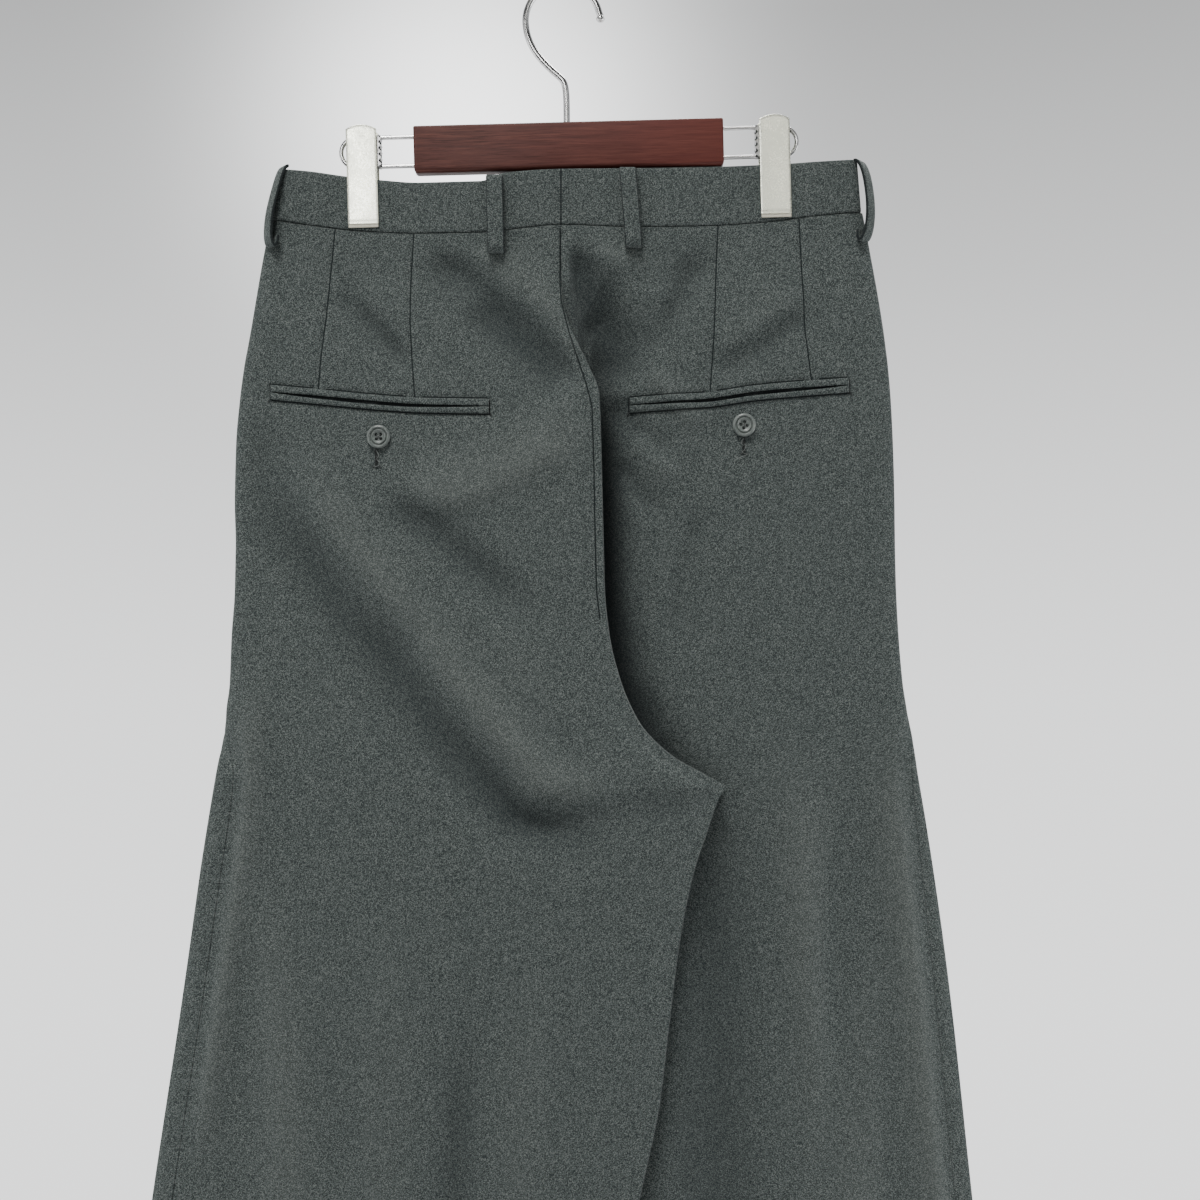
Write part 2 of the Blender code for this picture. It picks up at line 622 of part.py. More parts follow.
def block(name, size, place, finish, turn=0.0, bevel=0.0):
    """A box, turned about Y, with its edges rounded off."""
    mesh = bpy.data.meshes.new(name)
    shape = bmesh.new()
    bmesh.ops.create_cube(shape, size=1)
    bmesh.ops.scale(shape, vec=Vector(size) * MM, verts=shape.verts)
    if bevel:
        bmesh.ops.bevel(shape, geom=shape.edges[:], offset=bevel * MM, segments=2, profile=0.5,
                        affect="EDGES")
    bmesh.ops.transform(shape, matrix=Matrix.Rotation(-turn, 4, "Y"), verts=shape.verts)
    bmesh.ops.translate(shape, vec=Vector(place) * MM, verts=shape.verts)
    shape.to_mesh(mesh)
    shape.free()
    return add(name, mesh, finish)


def swept(name, centres, radii, sides, finish):
    """A round bar along a route in the X-Z plane or any other, with its own radius at each place."""
    centres = [Vector(c) * MM for c in centres]
    vertices = []
    across = Vector((0, 1, 0))
    for i, centre in enumerate(centres):
        along = (centres[min(i + 1, len(centres) - 1)] - centres[max(i - 1, 0)]).normalized()
        up = along.cross(across).normalized()
        for k in range(sides):
            angle = 2 * math.pi * k / sides
            vertices.append(centre + (across * math.cos(angle) + up * math.sin(angle)) * radii[i] * MM)
    faces = []
    for i in range(len(centres) - 1):
        for k in range(sides):
            n = (k + 1) % sides
            faces.append((i * sides + k, (i + 1) * sides + k, (i + 1) * sides + n, i * sides + n))
    faces.append(tuple(range(sides)))
    last = (len(centres) - 1) * sides
    faces.append(tuple(last + k for k in reversed(range(sides))))
    item = add(name, mesh_of(name, vertices, faces), finish)
    make_outward(item)
    return item


def make_outward(item):
    shape = bmesh.new()
    shape.from_mesh(item.data)
    bmesh.ops.recalc_face_normals(shape, faces=shape.faces)
    if shape.calc_volume(signed=True) < 0:
        bmesh.ops.reverse_faces(shape, faces=shape.faces)
    shape.to_mesh(item.data)
    shape.free()


# ---------------------------------------------------------------- the trousers
def make_panels(cloth):
    names = {"bl": "back_left", "br": "back_right", "fl": "front_left", "fr": "front_right"}
    return {panel: panel_wall(names[panel], panel_grid(panel), cloth) for panel in names}


def band_path(side):
    """The waistband's run from the centre back, round the side, to the centre front."""
    sign = -1 if side == "l" else 1
    edge = OUTLINE.at("left" if side == "l" else "right", 157) - sign * BAND / 2
    centre = EDGES.at("bl", 163)
    near = [18, 33, 46, 66, 88, 108, 124, 140, 156, 170]
    points = [[centre + sign * SEAM_GAP / 2, -WAIST.at("gap", centre)]]
    points += [[sign * x, -WAIST.at("gap", sign * x)] for x in near]
    points += [[edge - sign * 5, -5.4], [edge, -4.4], [edge, 4.4], [edge - sign * 5, 5.4]]
    points += [[sign * x, WAIST.at("gap", sign * x)] for x in near[:0:-1]]
    if side == "l":
        # The left end laps over the right end at the front.
        points += [[-24, 8.6], [-12, 10.4], [0, 11.9], [18, 11.7], [36, 11.2]]
    else:
        points += [[20, 8.7], [4, 9.0]]
    return points


def make_waistband(cloth):
    for side, name in (("l", "waistband_left"), ("r", "waistband_right")):
        control = band_path(side)
        curve = spline(control, places_along([1] * (len(control) - 3)))
        rows = []
        for share in (0.0, 1.0):
            row = []
            for x, y in curve:
                seam = WAIST.at("seam", x)
                top = WAIST.at("top", x)
                shrink = 1 - 0.028 * share * smooth((abs(x) - 120) / 70)
                row.append((x * shrink * MM, y * MM, -mix(seam, top, share) * MM))
            rows.append(row)
        sheet(name, rows, BAND, cloth)


def make_belt_loop(name, place, angle, length, feet, cloth):
    """A loop of folded cloth, sewn at its two ends, that stands off for the belt.

    The place is the middle of its upper end on the waistband. The angle is the way it faces,
    seen from above: 0 faces -Y and 90 degrees faces +X. The feet are how far out the cloth lies
    under its upper and its lower end.
    """
    out = Vector((math.sin(angle), -math.cos(angle), 0))
    across = Vector((math.cos(angle), math.sin(angle), 0))
    upper = feet[0] + SEAM_GAP
    lower = feet[1] + SEAM_GAP
    stand = LOOP_STAND + LOOP_WALL / 2
    route = ((upper, 1.4), (upper + 1.6, 1.2), (upper + stand - 1.2, 1.4), (upper + stand, 4.6),
             (mix(upper, lower, 0.35) + stand, length * 0.35),
             (mix(upper, lower, 0.7) + stand, length * 0.7), (lower + stand, length - 5),
             (lower + stand - 0.8, length - 1.6), (lower + 1.8, length - 1.2), (lower, length - 1.0))
    rows = []
    for away, down in spline(route, places_along([1, 1, 1, 2, 2, 1, 1])):
        centre = Vector(place) + Vector((0, 0, -down)) + out * away
        rows.append([tuple((centre + across * side) * MM)
                     for side in (-LOOP_WIDTH / 2, LOOP_WIDTH / 2)])
    sheet(name, rows, LOOP_WALL, cloth)


def make_belt_loops(panels, cloth):
    half = BAND / 2
    for name, x, facing, length in (("loop_back_left", -44.4, -1, 52.5),
                                    ("loop_back_right", 44.8, -1, 53.5),
                                    ("loop_front_left", -84, 1, 52), ("loop_front_right", 84, 1, 52)):
        row = "b" if facing < 0 else "f"
        tree = surface_of(panels[row + "l"], panels[row + "r"])
        top = WAIST.at("top", x)
        gap = WAIST.at("gap", x)
        slope = abs(WAIST.at("gap", x + 6) - WAIST.at("gap", x - 6)) / 2
        foot = max(facing * lay(tree, x + step, top + length, 0, facing)[1] / MM
                   for step in (-5.5, 0, 5.5))
        turn = 0 if facing < 0 else math.pi
        make_belt_loop(name, (x, facing * gap, -top), turn, length,
                       (half + slope, max(foot - gap, half) + 0.2), cloth)
    for name, column, sign, length in (("loop_side_left", "left", -1, 50),
                                       ("loop_side_right", "right", 1, 51)):
        edge = OUTLINE.at(column, 120)
        top = WAIST.at("top", edge)
        angle = sign * math.radians(78)
        reach = abs(OUTLINE.at(column, top + length)) - abs(edge)
        make_belt_loop(name, (edge, -0.6, -top), angle, length, (0.9, reach + 1.2), cloth)


# A back pocket's slit: x and depth at its two ends and middle.
POCKETS = {
    "left": Table("x depth", (-193.5, 274.8), (-149, 279.2), (-117, 282.0), (-94, 283.2),
                  (-48.3, 283.6)),
    "right": Table("x depth", (44.9, 281.5), (95, 278.6), (129, 273.6), (190.4, 268.2)),
}


def make_welts(panels, cloth):
    for side, panel in (("left", "bl"), ("right", "br")):
        tree = surface_of(panels[panel])
        slit = POCKETS[side]
        for part, upper in (("upper", -1), ("lower", 1)):
            rows = []
            for x in np.linspace(slit.key[0], slit.key[-1], 13):
                middle = slit.at("depth", x) + upper * (WELT_HEIGHT / 2 + 0.2)
                edges = [middle - WELT_HEIGHT / 2, middle, middle + WELT_HEIGHT / 2]
                rows.append([lay(tree, x, d, LAY_GAP + 0.5) for d in edges])
            sheet(f"welt_{side}_{part}", rows, 0.9, cloth)


def make_button(name, place, facing, finish, spin=0.0):
    """A four-hole button with a raised rim, facing along -Y or +Y."""
    profile = ((0.01, 0.0), (0.86, 0.0), (1.0, 0.9), (0.98, 2.0), (0.86, 2.6), (0.72, 2.4),
               (0.62, 1.7), (0.01, 1.6))
    sides = 16
    vertices = [(0, 0, 0)]
    for share, height in profile[1:-1]:
        for k in range(sides):
            angle = 2 * math.pi * k / sides
            vertices.append((share * BUTTON_RADIUS * math.cos(angle),
                             share * BUTTON_RADIUS * math.sin(angle), height))
    vertices.append((0, 0, profile[-1][1]))
    rings = len(profile) - 2
    faces = []
    for k in range(sides):
        n = (k + 1) % sides
        faces.append((0, 1 + n, 1 + k))
        faces.append((1 + (rings - 1) * sides + k, 1 + (rings - 1) * sides + n, 1 + rings * sides))
        for ring in range(rings - 1):
            a = 1 + ring * sides
            b = a + sides
            faces.append((a + k, a + n, b + n, b + k))
    vertices = [Vector(v) * MM for v in vertices]
    item = add(name, mesh_of(name, vertices, faces), finish)
    make_outward(item)
    for k in range(4):
        angle = spin + math.pi / 4 + k * math.pi / 2
        hole = (1.75 * math.cos(angle), 1.75 * math.sin(angle), 1.0)
        cut(item, cylinder("hole", 0.75, 6, 6, finish, place=hole))
    turn = Matrix.Rotation(math.pi / 2 if facing < 0 else -math.pi / 2, 4, "X")
    item.data.transform(turn)
    item.location = Vector(place)
    return item


def make_buttons(panels, finish):
    for name, panel, x, depth, spin in (("button_back_left", "bl", -120.9, 303.6, 0.0),
                                        ("button_back_right", "br", 120.4, 295.2, 0.35)):
        tree = surface_of(panels[panel])
        reach = BUTTON_RADIUS * 0.9
        around = [(x + reach * math.cos(a), depth + reach * math.sin(a))
                  for a in np.linspace(0, 2 * math.pi, 13)]
        nearest = min(lay(tree, px, pd, LAY_GAP)[1] for px, pd in around + [(x, depth)])
        make_button(name, (x * MM, nearest, -depth * MM), -1, finish, spin)
    x = 26.0
    depth = (WAIST.at("seam", x) + WAIST.at("top", x)) / 2
    make_button("button_waistband", (x * MM, 13.6 * MM, -depth * MM), 1, finish)


def make_fly(panels, cloth):
    """The front fly: the left front's edge, laid over the centre front and curved at its foot."""
    tree = surface_of(panels["fl"], panels["fr"])
    rows = []
    for share in np.linspace(0, 1, 9):
        depth = mix(166.5, 296, share)
        wide = 33 * math.sqrt(max(1 - max((share - 0.62) / 0.42, 0) ** 2, 0.02))
        rows.append([lay(tree, 4 + wide * step, depth, LAY_GAP + 0.9 + 0.8 * (1 - step), 1)
                     for step in (0.0, 0.25, 0.5, 0.75, 1.0)])
    sheet("fly", rows, 0.9, cloth)


def make_front_pockets(panels, cloth):
    """A slanted facing along the mouth of each front pocket."""
    for side, panel, sign in (("left", "fl", -1), ("right", "fr", 1)):
        tree = surface_of(panels[panel])
        rows = []
        for share in np.linspace(0, 1, 9):
            depth = mix(172, 338, share)
            x = mix(158, 196, smooth(share * 0.9))
            rows.append([lay(tree, sign * (x + step), depth, LAY_GAP + 0.5, 1)
                         for step in (-5, 0, 5)])
        sheet(f"pocket_front_{side}", rows, 0.9, cloth)


# ---------------------------------------------------------------- the hanger
def hanger_point(along, up, y=0.0):
    """A place on the hanger, from the middle of its bar, turned with its tilt."""
    x0, d0 = BAR_CENTRE
    return (x0 + along * math.cos(TILT) - up * math.sin(TILT), y,
            -d0 + along * math.sin(TILT) + up * math.cos(TILT))


def bar_middle():
    return BAR_FRONT + BAR_SIZE[1] / 2


def make_bar(wood):
    bar = block("hanger_bar", BAR_SIZE, hanger_point(0, 0, bar_middle()), wood, TILT, 1.6)
    half = BAR_SIZE[0] / 2
    turn = Matrix.Rotation(-TILT, 4, "Y") @ Matrix.Rotation(math.pi / 2, 4, "Y")
    for up in WIRE_OFFSET:
        for end in (-1, 1):
            place = hanger_point(end * (half - 5), up, bar_middle())
            cut(bar, cylinder("bore", WIRE_HOLE, 30, 10, wood, turn, place))
    cut(bar, cylinder("bore", HOOK_RADIUS + 0.35, 26, 12, wood,
                      place=(STEM_X, bar_middle(), -(BAR_CENTRE[1] - BAR_SIZE[2] / 2))))


def make_wires(metal):
    """Each side's wire leaves the bar, turns round past the clip and goes back in."""
    half = BAR_SIZE[0] / 2
    top, bottom = WIRE_OFFSET
    radius = (top - bottom) / 2
    middle = (top + bottom) / 2
    for end, name, reach in ((-1, "wire_left", 49.1), (1, "wire_right", 49.4)):
        straight = half + reach - radius
        route = [hanger_point(end * a, top, bar_middle()) for a in (half - 17, half + 8, straight)]
        for k in range(1, 8):
            angle = math.pi * k / 8
            route.append(hanger_point(end * (straight + radius * math.sin(angle)),
                                      middle + radius * math.cos(angle), bar_middle()))
        route += [hanger_point(end * a, bottom, bar_middle())
                  for a in (straight, half + 8, half - 17)]
        swept(name, route, [WIRE_RADIUS] * len(route), 8, metal)


def make_hook(metal):
    """A wire hook: a stem, a slanted neck, an open round, and a ball at the tip."""
    round_radius = 26.0
    centre = (0.0, round_radius - HOOK_RADIUS)
    y = bar_middle()
    foot = BAR_CENTRE[1] - BAR_SIZE[2] / 2 + 10
    route = [(STEM_X, foot), (STEM_X, 90), (STEM_X, 72), (2.4, 67.5), (0.8, 63.5), (-4.0, 57.5),
             (-12.0, 48.0), (-18.6, 40.0)]
    for k in range(17):
        angle = math.radians(mix(214, -4, k / 16))
        route.append((centre[0] + round_radius * math.cos(angle),
                      centre[1] - round_radius * math.sin(angle)))
    radii = [HOOK_RADIUS] * len(route)
    last = np.array(route[-1])
    for step, radius in ((0.5, 2.4), (1.3, 2.8), (2.4, 3.0), (3.6, 2.8), (4.6, 1.9), (5.0, 0.8)):
        route.append(tuple(last + np.array([0.0, step])))
        radii.append(radius)
    swept("hanger_hook", [(x, y, -d) for x, d in route], radii, 8, metal)


def make_clip(side, metal, rubber):
    """A sliding clip: two sprung plates round a guide on the wires, with a pad in each jaw."""
    x0, d0 = CLIP_PLACE[side]
    wide, tall = CLIP_SIZE
    y0 = bar_middle()
    along = (x0 - BAR_CENTRE[0]) / math.cos(TILT)
    up0 = -(d0 - BAR_CENTRE[1]) - along * math.sin(TILT)
    guide_up = (WIRE_OFFSET[0] + WIRE_OFFSET[1]) / 2
    guide = along - math.copysign(6.0, along)
    holder = block(f"clip_{side}_guide", (14, 7.4, 25), hanger_point(guide, guide_up, y0),
                  metal, TILT, 0.6)
    turn = Matrix.Rotation(-TILT, 4, "Y") @ Matrix.Rotation(math.pi / 2, 4, "Y")
    for up in WIRE_OFFSET:
        cut(holder, cylinder("bore", WIRE_HOLE, wide + 10, 10, metal, turn,
                             hanger_point(guide, up, y0)))
    # Each plate, from its finger end to its jaw: height above its middle, and distance from y0.
    jaw = WAIST.at("gap", x0) + BAND / 2 + PAD_WALL + 2.7 * SEAM_GAP + CLIP_SHEET / 2
    bend = ((0.5, 8.0), (0.42, 7.2), (0.2, 5.3), (-0.1, 5.0), (-0.36, 5.2), (-0.41, jaw), (-0.5, jaw))
    for part, facing in (("front", -1), ("rear", 1)):
        rows = []
        for share, away in bend:
            half = (wide / 2 - CLIP_SHEET / 2) * (0.8 if share == 0.5 else 1.0)
            rows.append([tuple(Vector(hanger_point(along + half * step, up0 + tall * share,
                                                   facing * away)) * MM)
                         for step in (-1, -0.55, 0, 0.55, 1)])
        sheet(f"clip_{side}_{part}", rows, CLIP_SHEET, metal)
        pad_y = facing * (WAIST.at("gap", x0) + BAND / 2 + 1.7 * SEAM_GAP + PAD_WALL / 2)
        block(f"clip_{side}_pad_{part}", (wide - 3, PAD_WALL, 7),
              hanger_point(along, up0 + 1.2 - tall / 2, pad_y), rubber, TILT)


def main():
    clear_scene()
    cloth = material("grey_suiting", (0.07, 0.08, 0.08), 0.9)
    horn = material("grey_horn", (0.12, 0.13, 0.13), 0.35)
    wood = material("red_brown_wood", (0.09, 0.03, 0.022), 0.35)
    chrome = material("chrome", (0.8, 0.8, 0.8), 0.12, 1.0)
    nickel = material("brushed_nickel", (0.75, 0.74, 0.68), 0.35, 1.0)
    rubber = material("cream_rubber", (0.75, 0.72, 0.62), 0.6)
    panels = make_panels(cloth)
    make_waistband(cloth)
    make_belt_loops(panels, cloth)
    make_welts(panels, cloth)
    make_fly(panels, cloth)
    make_front_pockets(panels, cloth)
    make_buttons(panels, horn)
    make_bar(wood)
    make_wires(chrome)
    make_hook(chrome)
    for side in CLIP_PLACE:
        make_clip(side, nickel, rubber)


main()
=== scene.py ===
"""Grey pleated dress trousers on a clip hanger: the finished pieces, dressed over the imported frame.

Metres, +Z up, the back of the trousers faces -Y. Sizes in the tables are millimetres, and
"depth" is the distance below the inside top of the hanger's hook.
"""
import math

import bpy
import numpy as np
from mathutils import Matrix, Vector
from mathutils.bvhtree import BVHTree


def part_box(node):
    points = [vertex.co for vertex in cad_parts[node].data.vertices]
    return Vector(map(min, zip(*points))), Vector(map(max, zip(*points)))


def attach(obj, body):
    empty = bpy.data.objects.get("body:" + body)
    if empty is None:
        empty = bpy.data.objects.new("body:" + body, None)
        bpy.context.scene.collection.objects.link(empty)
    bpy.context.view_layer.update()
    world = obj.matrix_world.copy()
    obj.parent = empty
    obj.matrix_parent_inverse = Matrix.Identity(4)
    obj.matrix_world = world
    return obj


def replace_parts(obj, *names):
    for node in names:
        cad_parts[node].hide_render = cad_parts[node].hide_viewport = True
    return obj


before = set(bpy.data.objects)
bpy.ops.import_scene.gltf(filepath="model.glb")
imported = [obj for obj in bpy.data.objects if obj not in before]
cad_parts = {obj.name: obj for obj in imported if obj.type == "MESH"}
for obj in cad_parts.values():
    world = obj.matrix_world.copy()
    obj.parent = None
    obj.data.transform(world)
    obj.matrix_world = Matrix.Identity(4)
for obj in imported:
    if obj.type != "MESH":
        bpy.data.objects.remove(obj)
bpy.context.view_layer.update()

MM = 0.001
IN_MM = (1000, 1000, 1000)

# ---------------------------------------------------------------- the maker's sizes, in mm
CLOTH = 1.1              # panel wall
LAID = 0.9               # wall of a piece that lies on a panel
BAND = 2.4               # waistband wall
SEAM_GAP = 0.3           # between two pieces that are sewn together
BAND_GAP = 0.6           # between the panels and the waistband's lower edge
LAY_GAP = 0.45           # between a panel and what lies on it
PANEL_TOP = 163          # depth of the panels' upper edge, before it follows the waistband
CROTCH = 534.5           # depth of the point where the four panels meet
HEM = 1164.0             # depth of the hems
SIDES = {"l": "left", "r": "right"}
OUTWARD = {"l": -1, "r": 1}      # along X, from the middle to a side
INWARD = {"b": 1, "f": -1}       # along Y, from the back or the front to the middle
PLEAT_EDGE = (62.0, 97.0)        # the two pleats' folded edges, from the centre front
PLEAT_STEP = 3.0                 # from one layer of a pleat to the next
LOOP_WIDTH = 11.0
LOOP_WALL = 2.0
LOOP_STAND = 4.7         # how far a belt loop stands off the waistband
WELT_HEIGHT = 4.6
FLY_TOP, FLY_FOOT = 166.5, 296.0     # depths
FLY_NEAR = 4.0           # x from which the fly is at its full width
FLY_WIDTH = 33.0
FLY_LAP = 1.1            # how far it reaches past the centre-front seam
TILT = math.radians(1.5)     # the hanger hangs with its right end up
BAR_CENTRE = (4.0, 107.8)    # x and depth of the bar's middle
BAR_SIZE = (207.0, 12.0, 31.4)
WIRE_RADIUS = 1.45
WIRE_OFFSET = (9.8, -9.6)    # a wire's two runs, above and below the bar's middle
WIRE_REACH = {"left": 49.1, "right": 49.4}   # past the bar's ends
WIRE_INSIDE = 17.0           # how far a wire goes into the bar
HOOK_RADIUS = 2.2            # of the hook's wire
HOOK_ROUND = 25.0            # from the middle of the hook's round to the middle of its wire
BALL_RADIUS = 2.8            # of the ball at the hook's tip
STEM_X = 2.7
CLIP_PLACE = {"left": (-134.2, 127.2), "right": (141.5, 120.3)}  # x and depth of each clip's middle
CLIP_SIZE = (20.5, 66.0)     # width and height of a plate
CLIP_SHEET = 1.2
PAD_WALL = 1.3
PAD_HEIGHT = 7.0
GUIDE_SIZE = (14.0, 7.0, 21.0)
RIB_DEPTH = 2.2
RIB_STEP = 4.2
END_STEP = 0.16              # from each end of a section to the extra point near it, in spans


def read_smoothly(keys, values, where):
    """Values read between their keys on smooth curves that never overshoot."""
    keys = np.asarray(keys, float)
    values = np.asarray(values, float)
    where = np.asarray(where, float)
    extra = (1,) * (values.ndim - 1)
    step = np.diff(keys)
    slope = np.diff(values, axis=0) / step.reshape(-1, *extra)
    product = slope[:-1] * slope[1:]
    both = slope[:-1] + slope[1:]
    tangent = np.zeros_like(values)
    tangent[1:-1] = np.where(product > 0, 2 * product / np.where(product > 0, both, 1), 0)
    tangent[0] = slope[0]
    tangent[-1] = slope[-1]
    i = np.clip(np.searchsorted(keys, where) - 1, 0, len(step) - 1)
    u = np.clip((where - keys[i]) / step[i], 0, 1).reshape(where.shape + extra)
    run = step[i].reshape(where.shape + extra)
    ease = u * u * (3 - 2 * u)
    lead = (u ** 3 - 2 * u * u + u) * run * tangent[i]
    trail = (u ** 3 - u * u) * run * tangent[i + 1]
    return values[i] * (1 - ease) + values[i + 1] * ease + lead + trail


class Table:
    """A short table of named columns, read smoothly between its rows."""

    def __init__(self, names, *rows):
        self.columns = dict(zip(names.split(), np.array(rows, float).T))
        self.key = self.columns[names.split()[0]]

    def at(self, name, key):
        return read_smoothly(self.key, self.columns[name], key)


# ---------------------------------------------------------------- the garment's tables
# The outline: x of both sides, and how far in from them the side seams lie on the back.
OUTLINE = Table(
    "depth left right wrap_left wrap_right",
    (117, -188.5, 197, 0, 0),
    (157, -195, 200.2, 0, 0),
    (190, -201.4, 206.5, 0, 0),
    (231, -208.5, 214.5, 0, 0),
    (271, -215, 219.5, 0, 0),
    (331, -218.6, 222.3, 0, 0),
    (391, -217.1, 223.5, 0, 0),
    (431, -219, 225.5, 0, 0),
    (470, -220.1, 229, 0, 0),
    (510, -228.3, 236.7, 14.5, 4.2),
    (570, -238.8, 249, 18.3, 10.5),
    (670, -253.3, 264.1, 18.3, 14.6),
    (806, -274.5, 279.7, 18.5, 16.7),
    (1164, -325.1, 319.6, 18.1, 18.6),
)

# x of each panel's inner seam, and of the far end of the cloth folded under the right panels.
EDGES = Table(
    "depth bl br fl fr under_back under_front",
    (163, -1, -1, 2, 2, 39, 42),
    (204, -0.9, -0.9, 2, 2, 39, 42),
    (214, 0.5, 0.5, 2, 2, 24, 42),
    (239, 8.5, 8.5, 2, 2, 11.2, 40),
    (260, 18.4, 18.4, 1.5, 1.5, 11, 34),
    (280, 24.6, 24.6, 1, 1, 7, 28),
    (322, 25.6, 25.6, -1, -1, 4, 12),
    (363, 26.7, 26.7, -4, -4, 3, 0),
    (385, 27.2, 27.2, -4.5, -4.5, 2.5, -5),
    (405, 27.8, 27.8, -1, -1, 2.5, -6),
    (430, 30.2, 30.2, 9, 9, 2.5, -6),
    (458, 36, 36, 23, 23, 2.5, -6),
    (477, 43.3, 43.3, 33, 33, 2.5, -6),
    (492, 50.5, 50.5, 42, 42, 2.5, -6),
    (505, 61.6, 61.6, 53.5, 53.5, 2.5, -6),
    (515.5, 74, 74, 66, 66, 2.5, -6),
    (524, 89.6, 89.6, 81.5, 81.5, 2.5, -6),
    (529.7, 99.4, 99.4, 92.5, 92.5, 2.5, -6),
    (534.5, 107.7, 107.7, 104, 104, 2.5, -6),
    (541, 103, 101, 103, 101, 2, -6.5),
    (558, 97, 92, 97, 92, 1.5, -7),
    (580, 88.8, 80, 88.8, 80, 1, -8),
    (615, 80.5, 66, 80.5, 66, -1, -10),
    (660, 73.2, 46, 73.2, 46, -5, -16),
    (700, 68.8, 25, 68.8, 25, -12, -24),
    (745, 63.2, -14, 63.2, -14, -28, -42),
    (785, 54.8, -33, 54.8, -33, -36, -50),
    (800, 51.5, -34, 51.5, -34, -33.5, -50),
    (812, 48.5, -34, 48.5, -34, -26, -50),
    (850, 40.5, -32, 40.5, -32, -16, -48),
    (900, 31, -27, 31, -27, -2, -42),
    (1020, 9, -8, 9, -8, 22, -23),
    (1164, -13, 18, -13, 18, 48, 4),
)

# y of each panel near its side seam, in its middle and near its inner seam.
LEVELS = Table(
    "depth bl_side bl_mid bl_in fl_side fl_mid fl_in br_in br_mid br_side fr_in fr_mid fr_side",
    (163, -4.8, -3, -9, 4.8, 3, 9, -9, -3, -4.8, 9, 3, 4.8),
    (204, -6, -8, -13, 5, 8, 12, -9, -8, -6, 12, 8, 6),
    (240, -8, -12, -17, 5, 10, 11, -5.5, -12, -7, 12, 11, 6.5),
    (280, -10, -16, -21, 3, 9, 9, -6, -13, -7, 13, 13, 7),
    (330, -12, -21, -23, 1, 5, 0, -6.5, -12, -6.5, 14, 14, 8),
    (385, -15, -25, -25.5, -2, 0, -14, -6, -11, -5, 14, 14, 9),
    (430, -18, -28, -27, -5, -5, -17.5, -6, -10, -4, 14, 15, 10),
    (480, -21, -31, -30, -8, -10, -18, -6, -9, -3, 14, 15.5, 11),
    (534, -24, -33, -31, -12, -13, -19, -6, -8, -2, 14, 16, 12),
    (600, -25, -34, -30, -13, -14, -18.5, -5, -7, -1, 14, 17, 13),
    (700, -25, -33, -28, -12, -14, -17.5, -4, -6, 0, 14, 17, 13),
    (807, -24, -32, -26, -11, -13, -16, -4, -6, 1, 13, 17, 13),
    (960, -22, -29, -23, -8, -10, -13, -5, -8, -1, 9, 14, 11),
    (1164, -19, -26, -20, -5, -7, -11, -7, -10, -4, 6, 10, 7),
)

# y at each panel's inner seam and on the cloth folded under, and how far the edges turn in to meet.
TIPS = Table(
    "depth bl fl fr br fin_front fin_back turn_back turn_front",
    (163, -9, 9, 9, -9, 9, -9, 0, 0),
    (204, -13.2, 12, 12, -13.2, 12, -12.5, 0, 0),
    (214, -14.5, 12, 12, -13.6, 12, -12.5, 0.05, 0),
    (234, -17.1, 11.2, 11.7, -14.2, 12, -13.8, 0.1, 0),
    (244, -18.2, 10.8, 11.4, -14.6, 12, -14.2, 1, 0),
    (260, -19.5, 10, 11, -15.6, 12, -15, 1, 0.1),
    (280, -21, 9, 10.5, -16.6, 11, -15.5, 1, 0.3),
    (322, -23, 1, 3.6, -17, 5, -15, 1, 1),
    (363, -25, -8.5, -6, -16, -5, -13, 1, 1),
    (385, -25.8, -14, -11.8, -14.6, -10.5, -11, 1, 1),
    (405, -26.2, -16.8, -13.8, -11.8, -13.2, -10.4, 1, 1),
    (430, -27, -17.7, -14.5, -11, -14.2, -10.6, 1, 1),
    (477, -26.5, -18, -14.8, -11, -15, -11, 1, 1),
    (505, -24.5, -17.6, -14.4, -11, -15, -11, 1, 1),
    (516, -22.8, -17.3, -14.2, -10.9, -15, -11, 1, 1),
    (525.5, -21.2, -17, -13.9, -10.9, -15, -11, 0.6, 0.6),
    (534.5, -19.2, -16.6, -13.8, -11, -15, -11, 0, 0),
    (541, -20, -16.6, -13.8, -10.6, -15, -11, 0.6, 0.6),
    (558, -22, -16.7, -13.7, -10.4, -14.8, -10.8, 1, 1),
    (580, -24, -16.9, -13.6, -10.2, -14.4, -10.4, 1, 1),
    (615, -26, -17.2, -13.4, -9.8, -14, -9.8, 1, 1),
    (700, -26, -17, -12.8, -9.2, -13, -9, 1, 1),
    (745, -25.4, -16.6, -12, -8.6, -12.2, -8.4, 1, 1),
    (785, -25, -16.2, -11.2, -8.2, -11.2, -7.5, 1, 1),
    (800, -24.8, -16, -11, -8, -11, -7.2, 1, 1),
    (812, -24.6, -15.8, -9.8, -8.8, -10.2, -6.8, 0, 1),
    (900, -22.8, -14.4, -8, -8, -9, -6.5, 0, 1),
    (1164, -20, -11, -8.5, -8.5, -8.5, -8.5, 0, 1),
)

